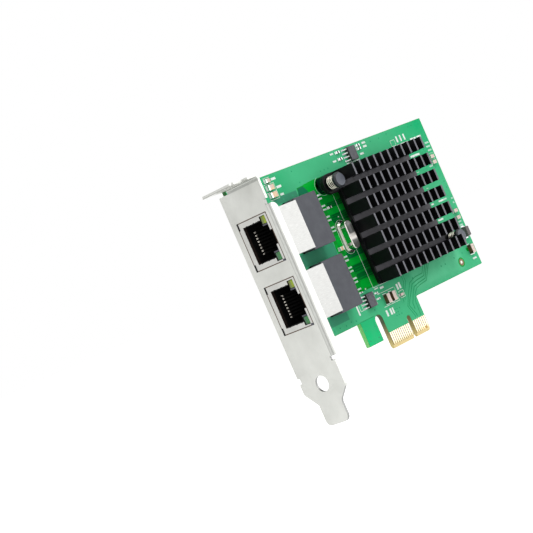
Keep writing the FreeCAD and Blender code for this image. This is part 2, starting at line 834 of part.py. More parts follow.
def make_chip(name, centre_x, centre_z):
    """One eight lead chip: moulded body with drafted sides, and its leads."""
    left, right = centre_x - chip_width / 2, centre_x + chip_width / 2
    low, high = centre_z - chip_length / 2, centre_z + chip_length / 2
    waist = chip_lead_shoulder
    middle = rectangle(left, right, low, high)
    inner = rectangle(left + chip_draft, right - chip_draft, low + chip_draft, high - chip_draft)
    halves = []
    for first, first_h, second, second_h in ((inner, chip_low, middle, waist),
                                             (middle, waist, inner, chip_top)):
        wires = [rounded_wire(corners, lambda x, z, h=h: at(x, z, h))
                 for corners, h in ((first, first_h), (second, second_h))]
        halves.append(Part.makeLoft(wires, True, True))
    body = fused(halves)
    leads = []
    for x, side in ((left, -1), (right, 1)):
        for offset in spread(chip_lead_count, chip_lead_pitch):
            leads.append(gull_lead(x, side, centre_z + offset, chip_lead_width,
                                   waist + lead_thickness / 2, chip_lead_reach))
    mark = disc(left + dot_inset, high - dot_inset, chip_top - dot_depth, chip_top + over, dot_radius)
    save("eight_lead_chip_" + name, [body.cut(Part.makeCompound(leads)).cut(mark)])
    save("eight_lead_chip_leads_" + name, leads)


def chip_part(x, z, length, width, height, along):
    """A chip capacitor or resistor: its body, two end caps, and two pads with solder fillets."""
    cap = length * cap_share
    half_length, half_width = length / 2, width / 2
    low, top = pad_height + cap_swell, pad_height + height
    body = block(-half_length + cap, half_length - cap, -half_width, half_width, low, top - cap_swell)
    caps, pads = [], []
    swollen = half_width + cap_swell
    for side in (-1, 1):
        inner, outer = side * (half_length - cap), side * half_length
        caps.append(block(min(inner, outer), max(inner, outer), -swollen, swollen, pad_height, top))
        edge = side * (half_length + pad_overhang)
        pad = block(min(inner, edge), max(inner, edge), -swollen, swollen, 0, pad_height)
        points = [(outer, pad_height), (outer + side * fillet_width, pad_height),
                  (outer, pad_height + height * fillet_share)]
        corners = [at(a, -swollen, h) for a, h in points]
        wedge = Part.Face(Part.makePolygon(corners + corners[:1])).extrude(Vector(0, 0, 2 * swollen))
        pads.append(fused([pad, wedge]))
    for shape in [body] + caps + pads:
        if along == "z":
            shape.rotate(Vector(0, 0, 0), Vector(0, 1, 0), 90)
        shape.translate(at(x, z, 0))
    return body, caps, pads


def termination_resistors():
    """Small resistors beside each transformer, in pairs that skip every third lead."""
    rows = []
    for centre_z in transformer_z:
        for index, offset in enumerate(spread(transformer_lead_count, transformer_lead_pitch)):
            if index % 3 != 0:
                rows.append((termination_x, centre_z + offset, termination_length, termination_width,
                             termination_height, "x"))
    return rows


def make_chip_parts():
    """All chip capacitors and resistors, sorted into bodies, end caps and solder."""
    caps, pads = [], []
    groups = (("large_capacitors", big_capacitors), ("small_capacitors", small_capacitors),
              ("resistors", loose_resistors + tuple(termination_resistors())))
    for name, rows in groups:
        bodies = []
        for row in rows:
            body, ends, solder = chip_part(*row)
            bodies.append(body)
            caps += ends
            pads += solder
        save(name, bodies)
    save("chip_end_caps", caps)
    return pads


def pad_block(near, far, z, width):
    """One flat solder pad between two places along the card."""
    return block(min(near, far), max(near, far), z - width / 2, z + width / 2, 0, pad_height)


def lead_pads():
    """Solder pads under the gull wing leads and under the moulded capacitor."""
    pads = []
    for name, centre_x, centre_z in chip_places:
        for side in (-1, 1):
            wall = centre_x + side * chip_width / 2
            near, far = wall + side * chip_pad_start, wall + side * chip_pad_reach
            for offset in spread(chip_lead_count, chip_lead_pitch):
                z = centre_z + offset
                pads.append(pad_block(near, far, z, chip_pad_width))
    for centre_z in transformer_z:
        for wall, side, z in transformer_lead_places(centre_z):
            near = wall + side * transformer_pad_start
            far = wall + side * (transformer_lead_reach + pad_overhang)
            pads.append(pad_block(near, far, z, transformer_pad_width))
    for side in (-1, 1):
        end = moulded_z + side * moulded_length / 2
        low, high = sorted((end - side * moulded_pad_inside, end + side * moulded_pad_outside))
        half = moulded_pad_width / 2
        pads.append(block(moulded_x - half, moulded_x + half, low, high, 0, pad_height))
    return pads


def make_moulded_capacitor():
    """The moulded capacitor by the right edge, and the tabs folded under its ends."""
    half_width, half_length = moulded_width / 2, moulded_length / 2
    low = pad_height + moulded_tab_thickness
    outer = rectangle(moulded_x - half_width, moulded_x + half_width,
                      moulded_z - half_length, moulded_z + half_length)
    taper = moulded_taper
    inner = rectangle(moulded_x - half_width + taper, moulded_x + half_width - taper,
                      moulded_z - half_length + taper, moulded_z + half_length - taper)
    wires = [rounded_wire(corners, lambda x, z, h=h: at(x, z, h))
             for corners, h in ((outer, moulded_waist), (inner, moulded_top))]
    base = block(moulded_x - half_width, moulded_x + half_width, moulded_z - half_length,
                 moulded_z + half_length, low, moulded_waist)
    save("moulded_capacitor", [fused([base, Part.makeLoft(wires, True, True)])])
    tabs = []
    half_tab = moulded_tab_width / 2
    for side in (-1, 1):
        end = moulded_z + side * half_length
        outside = end + side * moulded_tab_thickness
        inside = end - side * moulded_tab_reach
        foot = block(moulded_x - half_tab, moulded_x + half_tab, min(inside, outside), max(inside, outside),
                     pad_height, low)
        riser = block(moulded_x - half_tab, moulded_x + half_tab, min(end, outside), max(end, outside),
                      pad_height, moulded_waist)
        tabs.append(fused([foot, riser]))
    save("moulded_capacitor_tabs", tabs)


def make_plating():
    """The plated hole near the lower right: a thin tube with a ring on each face."""
    rim = plated_bore + plated_wall
    tube = disc(plated_x, plated_z, back - plated_lip, plated_lip, rim)
    rings = [disc(plated_x, plated_z, 0, plated_lip, plated_ring),
             disc(plated_x, plated_z, back - plated_lip, back, plated_ring)]
    return fused([tube] + rings).cut(disc(plated_x, plated_z, back - over, over, plated_bore))


def solder_joint(x, z, pin):
    """A cone of solder round one pin on the far side of the board."""
    cone = Part.makeCone(joint_radius, joint_tip_radius, joint_height, at(x, z, back), Vector(0, 1, 0))
    return cone.cut(pin)


def make_controller():
    """The controller under the heat sink: package, solder balls and the pad on top."""
    x, z = sink_centre
    top = sink_base_low - pad_thickness
    outline = rectangle(x - package_half, x + package_half, z - package_half, z + package_half,
                        package_corner)
    substrate = plate(outline, package_low, package_low + package_substrate)
    inner = package_half - package_cap_inset
    cap = plate(rectangle(x - inner, x + inner, z - inner, z + inner, package_corner),
                package_low + package_substrate, top)
    save("controller_package", [fused([substrate, cap])])
    offsets = spread(ball_rows, ball_pitch)
    balls = [disc(x + a, z + b, 0, package_low, ball_radius) for a in offsets for b in offsets]
    save("controller_balls", balls)
    save("thermal_pad", [block(x - pad_half, x + pad_half, z - pad_half, z + pad_half, top, sink_base_low)])


def make_jack(name, centre_z):
    """One jack: shell, housing, contacts, two lamps and their leads."""
    save("jack_shell_" + name, [make_shell(centre_z)])
    save("jack_housing_" + name, [make_housing(centre_z)])
    contacts = [make_contact(x, z) for x, z in contact_pins(centre_z)]
    save("jack_contacts_" + name, contacts)
    yellow_z, green_z = lamp_centres(centre_z)
    save("jack_lamp_yellow_" + name, [make_lamp(yellow_z)])
    save("jack_lamp_green_" + name, [make_lamp(green_z)])
    save("jack_lamp_leads_" + name, make_lamp_leads(centre_z))


def make_joints():
    """Solder joints on the far side, round every pin that goes through the board."""
    joints = []
    for centre_z in jack_z:
        for x, z in contact_pins(centre_z):
            pin = block(x - contact_thickness / 2, x + contact_thickness / 2, z - contact_width / 2,
                        z + contact_width / 2, pin_low - over, 0)
            joints.append(solder_joint(x, z, pin))
        half = lamp_lead_size / 2
        for x, z in lamp_pins(centre_z):
            pin = block(x - half, x + half, z - half, z + half, pin_low - over, 0)
            joints.append(solder_joint(x, z, pin))
    for x, z in crystal_pins():
        joints.append(solder_joint(x, z, disc(x, z, pin_low - over, 0, crystal_pin_radius)))
    return joints


os.makedirs("parts", exist_ok=True)
save("circuit_board", [make_board()])
save("edge_fingers_front", make_fingers(0, finger_thickness, left_fingers + right_fingers - 2))
save("edge_fingers_back", make_fingers(back - finger_thickness, back, 0))
save("plated_hole", [make_plating()])
save("bracket", [make_bracket()])
save("bracket_screws", [make_screw(z) for z in ear_z])
for name, centre_z in zip(("upper", "lower"), jack_z):
    make_jack(name, centre_z)
for name, centre_z in zip(("upper", "lower"), transformer_z):
    make_transformer(name, centre_z)
save("heat_sink", [make_sink()])
make_controller()
save("push_pins", [make_push_pin(x, z) for x, z in push_pin_places])
save("push_pin_springs", [make_spring(x, z) for x, z in push_pin_places])
make_crystal()
for name, centre_x, centre_z in chip_places:
    make_chip(name, centre_x, centre_z)
make_moulded_capacitor()
save("solder_pads", make_chip_parts() + lead_pads())
save("solder_joints", make_joints())
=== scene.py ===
# Looks for the two port network card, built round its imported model.
import math

import bmesh
import bpy
from mathutils import Matrix, Vector


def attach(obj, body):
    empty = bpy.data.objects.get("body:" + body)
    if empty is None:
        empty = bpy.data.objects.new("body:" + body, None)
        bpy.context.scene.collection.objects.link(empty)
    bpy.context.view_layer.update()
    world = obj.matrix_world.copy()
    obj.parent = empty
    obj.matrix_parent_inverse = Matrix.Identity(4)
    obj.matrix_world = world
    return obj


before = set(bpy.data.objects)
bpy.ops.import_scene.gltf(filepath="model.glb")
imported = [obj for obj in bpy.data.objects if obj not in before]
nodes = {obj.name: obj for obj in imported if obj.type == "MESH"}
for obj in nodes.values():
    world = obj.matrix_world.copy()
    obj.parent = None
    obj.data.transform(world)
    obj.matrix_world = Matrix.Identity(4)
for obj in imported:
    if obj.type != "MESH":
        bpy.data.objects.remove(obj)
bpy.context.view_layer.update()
mm = 0.001
print("card loaded,", len(nodes), "nodes")

# Where things are on the board, in mm: x along the card from the bracket's outer face, z up from the
# edge connector's lower edge, h outwards from the component side.
place = {"keyX": 57.4, "half": 0.785, "thick": 1.57, "jackMiddles": (48.68, 27.34), "platedHole": (95.1, 15.75),
         "pins": ((44.05, 57.75), (90.65, 24.55))}


def onBoard(x, z, h):
    return Vector((x - place["keyX"], -h - place["half"], z)) * mm


def paint(r, g, b):
    # screen colour 0 to 255, as linear light
    tone = []
    for value in (r, g, b):
        v = value / 255
        tone.append(v / 12.92 if v <= 0.04045 else ((v + 0.055) / 1.055) ** 2.4)
    return (*tone, 1.0)


def outward(azimuth, elevation):
    # direction from the card, in degrees
    turn, rise = math.radians(azimuth), math.radians(elevation)
    return Vector((math.sin(turn) * math.cos(rise), -math.cos(turn) * math.cos(rise), math.sin(rise)))


def addObject(name, data):
    thing = bpy.data.objects.new(name, data)
    bpy.context.scene.collection.objects.link(thing)
    return thing


# Camera at the photograph's place
camera = {"target": (-0.052496, -0.000785, 0.041229), "azimuth": -45.885, "elevation": -0.091,
          "roll": 23.447, "distance": 0.549842, "lens": 119.452, "sensor": 36, "near": 0.01, "far": 50}


def placeCamera():
    back, roll = outward(camera["azimuth"], camera["elevation"]), math.radians(camera["roll"])
    right = Vector((0, 0, 1)).cross(back).normalized()
    up = back.cross(right)
    across = right * math.cos(roll) - up * math.sin(roll)
    upward = right * math.sin(roll) + up * math.cos(roll)
    lens = bpy.data.cameras.new("studioCamera")
    lens.lens = camera["lens"]
    lens.sensor_width = camera["sensor"]
    lens.clip_start, lens.clip_end = camera["near"], camera["far"]
    spot = Vector(camera["target"]) + back * camera["distance"]
    turned = Matrix((across, upward, back)).transposed()
    eye = addObject("studioCamera", lens)
    eye.matrix_world = Matrix.Translation(spot) @ turned.to_4x4()
    bpy.context.scene.camera = eye


# Lamps: azimuth and elevation as seen from the card, distance and side in metres, power in watts
lamps = {"rightSoftbox": (47, 6, 1.0, 0.9, 4.2), "frontTop": (5, 52, 1.0, 0.6, 4.6),
         "leftFill": (-80, 18, 1.0, 1.3, 6.6), "backFill": (172, 30, 1.1, 0.8, 4.2)}
room = {"middle": (-0.01, 0, 0.035), "ambient": 0.42, "floorZ": -0.07, "floorSide": 12, "floorGlow": 0.72,
        "floorTone": (226, 226, 226)}


def hangLamps():
    for name, (azimuth, elevation, distance, side, power) in lamps.items():
        out = outward(azimuth, elevation)
        light = bpy.data.lights.new(name, "AREA")
        light.shape = "SQUARE"
        light.size = side
        light.energy = power
        lamp = addObject(name, light)
        lamp.location = Vector(room["middle"]) + out * distance
        lamp.rotation_mode = "QUATERNION"
        lamp.rotation_quaternion = (-out).to_track_quat("-Z", "Y")
        lamp.visible_camera = False


# Helpers for node trees

def fill(tree, node, values):
    # numbers and colours are set on the node's inputs, other nodes' outputs are linked to them
    for key, value in values.items():
        if isinstance(value, bpy.types.NodeSocket):
            tree.links.new(value, node.inputs[key])
        else:
            node.inputs[key].default_value = value


def addNode(tree, kind, values=None, **settings):
    node = tree.nodes.new(kind)
    for key, value in settings.items():
        setattr(node, key, value)
    fill(tree, node, values or {})
    return node


def stretch(tree, value, low, high, toLow=0.0, toHigh=1.0):
    return addNode(tree, "ShaderNodeMapRange", {"Value": value, "From Min": low, "From Max": high,
                                                "To Min": toLow, "To Max": toHigh}).outputs[0]


def join(tree, first, second, operation="MULTIPLY"):
    return addNode(tree, "ShaderNodeMath", {0: first, 1: second}, operation=operation).outputs[0]


def sizeOf(tree, value):
    return addNode(tree, "ShaderNodeMath", {0: value}, operation="ABSOLUTE").outputs[0]


def emptyTree(owner):
    owner.use_nodes = True
    owner.node_tree.nodes.clear()
    return owner.node_tree


def whiteRays(tree):
    # 1 for rays that should meet the plain white room: camera, glossy and transmission
    rays = addNode(tree, "ShaderNodeLightPath").outputs
    seen = join(tree, rays["Is Camera Ray"], rays["Is Glossy Ray"], "MAXIMUM")
    return join(tree, seen, rays["Is Transmission Ray"], "MAXIMUM")


def paintRoom():
    bpy.context.scene.world = bpy.data.worlds.new("studioWorld")
    tree = emptyTree(bpy.context.scene.world)
    strength = stretch(tree, whiteRays(tree), 0.0, 1.0, room["ambient"], 1.0)
    sky = addNode(tree, "ShaderNodeBackground", {"Color": (1, 1, 1, 1), "Strength": strength})
    addNode(tree, "ShaderNodeOutputWorld", {"Surface": sky.outputs[0]})


def layFloor():
    bm = bmesh.new()
    bmesh.ops.create_grid(bm, x_segments=2, y_segments=2, size=room["floorSide"])
    mesh = bpy.data.meshes.new("floor")
    bm.to_mesh(mesh)
    bm.free()
    floor = addObject("floor", mesh)
    floor.location = (0, 0, room["floorZ"])
    mat = bpy.data.materials.new("floorPaper")
    tree = emptyTree(mat)
    strength = stretch(tree, whiteRays(tree), 0.0, 1.0, 0.0, room["floorGlow"])
    matte = addNode(tree, "ShaderNodeBsdfDiffuse", {"Color": paint(*room["floorTone"])})
    glow = addNode(tree, "ShaderNodeEmission", {"Strength": strength})
    both = addNode(tree, "ShaderNodeAddShader", {0: matte.outputs[0], 1: glow.outputs[0]})
    addNode(tree, "ShaderNodeOutputMaterial", {"Surface": both.outputs[0]})
    mesh.materials.append(mat)


placeCamera()
hangLamps()
paintRoom()
layFloor()
bpy.context.scene.view_settings.view_transform = "Standard"
print("camera, lamps and floor ready")


# Shared node groups

def startGroup(name, inputs, outputs):
    # a new group, the sockets that come in and those that go out
    group = bpy.data.node_groups.new(name, "ShaderNodeTree")
    for side, sockets in (("INPUT", inputs), ("OUTPUT", dict.fromkeys(outputs, 0.0))):
        for socket, value in sockets.items():
            kind = "NodeSocketVector" if isinstance(value, tuple) else "NodeSocketFloat"
            made = group.interface.new_socket(name=socket, in_out=side, socket_type=kind)
            made.default_value = value
    return group, addNode(group, "NodeGroupInput").outputs, addNode(group, "NodeGroupOutput")


def buildGrain():
    # patches of tone and a fine grain; Size is the patch size in mm, Stretch draws the grain out
    group, put, give = startGroup("patchAndGrain", {"Size": 4.0, "Grain size": 0.25, "Stretch": (1.0, 1.0, 1.0)},
                                  ("Patches", "Grain", "Relief"))
    where = addNode(group, "ShaderNodeTexCoord").outputs["Object"]
    drawn = addNode(group, "ShaderNodeVectorMath", {0: where, 1: put["Stretch"]}, operation="MULTIPLY").outputs[0]
    noises = []
    for size, spot, detail, rough in (("Size", where, 3.0, 0.55), ("Grain size", drawn, 4.0, 0.65)):
        scale = join(group, 1000.0, put[size], "DIVIDE")
        noise = addNode(group, "ShaderNodeTexNoise",
                        {"Vector": spot, "Scale": scale, "Detail": detail, "Roughness": rough})
        noises.append(noise.outputs["Fac"])
    patches, grain = noises
    relief = addNode(group, "ShaderNodeMath", {0: patches, 1: 0.35, 2: grain}, operation="MULTIPLY_ADD").outputs[0]
    fill(group, give, {"Patches": patches, "Grain": grain, "Relief": relief})
    return group


def buildWearAndSheen():
    # 1 on rubbed edges and corners, broken up by noise: rubbed wear on the steel parts, a painted highlight on the
    # heat sink's fin edges; Reach is how far from the edge, in metres
    group, put, give = startGroup("rubbedAndSheenEdges", {"Reach": 0.0001, "Amount": 1.0}, ("Rubbed and sheen",))
    rounded = addNode(group, "ShaderNodeBevel", {"Radius": put["Reach"]}, samples=4).outputs[0]
    normal = addNode(group, "ShaderNodeNewGeometry").outputs["Normal"]
    dot = addNode(group, "ShaderNodeVectorMath", {0: rounded, 1: normal}, operation="DOT_PRODUCT")
    where = addNode(group, "ShaderNodeTexCoord").outputs["Object"]
    noise = addNode(group, "ShaderNodeTexNoise", {"Vector": where, "Scale": 900.0, "Detail": 3.0})
    turn = stretch(group, dot.outputs["Value"], 0.995, 0.86)
    broken = stretch(group, noise.outputs["Fac"], 0.38, 0.62)
    rubbedAndSheen = join(group, join(group, turn, broken), put["Amount"])
    rubbedAndSheen.node.use_clamp = True
    fill(group, give, {"Rubbed and sheen": rubbedAndSheen})
    return group


def buildWeave():
    # the laminate's glass cloth, showing faintly through the green film; Pitch in mm
    group, put, give = startGroup("glassCloth", {"Pitch": 0.45}, ("Cloth",))
    where = addNode(group, "ShaderNodeTexCoord").outputs["Object"]
    scale = join(group, 1000.0 / 3.2, put["Pitch"], "DIVIDE")
    waves = [addNode(group, "ShaderNodeTexWave", {"Vector": where, "Scale": scale, "Distortion": 0.4, "Detail": 1.0},
                     bands_direction=axis).outputs["Fac"] for axis in "XZ"]
    fill(group, give, {"Cloth": join(group, *waves)})
    return group


grainGroup = buildGrain()
wearAndSheenGroup = buildWearAndSheen()
weaveGroup = buildWeave()


def spaced(values):
    return {key.replace("_", " "): value for key, value in values.items()}


def useGroup(tree, group, **values):
    return addNode(tree, "ShaderNodeGroup", spaced(values), node_tree=group).outputs


def blendColours(tree, share, first, second):
    return addNode(tree, "ShaderNodeMix", {0: share, 6: first, 7: second}, data_type="RGBA").outputs[2]


def mixValue(tree, share, first, second):
    return addNode(tree, "ShaderNodeMix", {0: share, 2: first, 3: second}, data_type="FLOAT").outputs[0]


def bumpOf(tree, height, distance, strength=1.0):
    # distance in mm
    return addNode(tree, "ShaderNodeBump", {"Height": height, "Distance": distance * mm,
                                            "Strength": strength}).outputs[0]


def readPlaces(tree):
    # the board place in mm (x, z, h), the same without h, and the face's normal
    where = addNode(tree, "ShaderNodeTexCoord").outputs["Object"]
    normal = addNode(tree, "ShaderNodeNewGeometry").outputs["True Normal"]
    values = {}
    for name, scale, start in (("full", (1000, -1000, 1000), (place["keyX"], -place["half"], 0)),
                               ("flat", (1000, 0, 1000), (place["keyX"], 0, 0))):
        values[name] = addNode(tree, "ShaderNodeVectorMath", {0: where, 1: scale, 2: start},
                               operation="MULTIPLY_ADD").outputs[0]
    for source, names in ((values["full"], ("x", "h", "z")), (normal, ("nx", "ny", "nz"))):
        split = addNode(tree, "ShaderNodeSeparateXYZ", {0: source})
        for axis, name in zip("XYZ", names):
            values[name] = split.outputs[axis]
    return values


def distanceFrom(tree, places, x, z):
    return addNode(tree, "ShaderNodeVectorMath", {0: places["flat"], 1: (x, 0, z)},
                   operation="DISTANCE").outputs["Value"]


def within(tree, value, low, high, soft):
    # 1 between low and high, with soft sides
    return join(tree, stretch(tree, value, low - soft, low + soft),
                stretch(tree, value, high - soft, high + soft, 1.0, 0.0))


zoneSoft = {"place": 0.04, "normal": 0.03}


def markZone(tree, places, zone):
    # mask of a zone: ranges of x, z, h, of the normal (nx) or its size (ax), and a round spot
    soft = zone.get("soft", zoneSoft["place"])
    parts = [within(tree, places[key], *zone[key], soft) for key in "xzh" if key in zone]
    for axis in "xyz":
        normal = places["n" + axis]
        if "n" + axis in zone:
            parts.append(within(tree, normal, *zone["n" + axis], zoneSoft["normal"]))
        if "a" + axis in zone:
            parts.append(within(tree, sizeOf(tree, normal), *zone["a" + axis], zoneSoft["normal"]))
    if "spot" in zone:
        x, z, r = zone["spot"]
        parts.append(stretch(tree, distanceFrom(tree, places, x, z), r - soft, r + soft, 1.0, 0.0))
    mask = parts[0]
    for part in parts[1:]:
        mask = join(tree, mask, part)
    return mask


def shadeOf(tone, factor):
    return paint(*(value * factor for value in tone))


def startMaterial(name, gloss=0.5, **settings):
    mat = bpy.data.materials.new(name)
    mat.use_nodes = True
    shader = mat.node_tree.nodes["Principled BSDF"]
    fill(mat.node_tree, shader, {"Specular IOR Level": gloss, **spaced(settings)})
    return mat, mat.node_tree, shader


def makeFinish(name, dark, light, rough, size, grain=0.1, draw=(1, 1, 1), relief=0.004, metal=0.0,
               worn=None, wornReach=0.0001, wornAmount=1.0, zones=(), **settings):
    # a two tone surface with grain, roughness that varies from rough[0] to rough[1] and relief in mm;
    # a zone has its own tone, and may have its own roughness and metal
    mat, tree, shader = startMaterial(name, **settings)
    marks = useGroup(tree, grainGroup, Size=size, Grain_size=grain, Stretch=draw)
    colour = blendColours(tree, stretch(tree, marks["Patches"], 0.32, 0.68), paint(*dark), paint(*light))
    shade = blendColours(tree, stretch(tree, marks["Grain"], 0.3, 0.7, 0.0, 0.35), colour, paint(*dark))
    fine = stretch(tree, marks["Grain"], 0.3, 0.7)
    roughness = stretch(tree, marks["Grain"], 0.3, 0.7, *rough)
    shine = metal
    if worn:
        rubbedAndSheen = useGroup(tree, wearAndSheenGroup, Reach=wornReach, Amount=wornAmount)
        shade = blendColours(tree, rubbedAndSheen["Rubbed and sheen"], shade, paint(*worn))
    places = readPlaces(tree) if zones else None
    for zone in zones:
        mask = markZone(tree, places, zone)
        tone = blendColours(tree, fine, paint(*zone["tone"]), shadeOf(zone["tone"], 0.93))
        shade = blendColours(tree, mask, shade, tone)
        if "rough" in zone:
            roughness = mixValue(tree, mask, roughness, zone["rough"])
        if "metal" in zone:
            shine = mixValue(tree, mask, shine, zone["metal"])
    fill(tree, shader, {"Base Color": shade, "Roughness": roughness, "Metallic": shine,
                        "Normal": bumpOf(tree, marks["Relief"], relief)})
    return mat
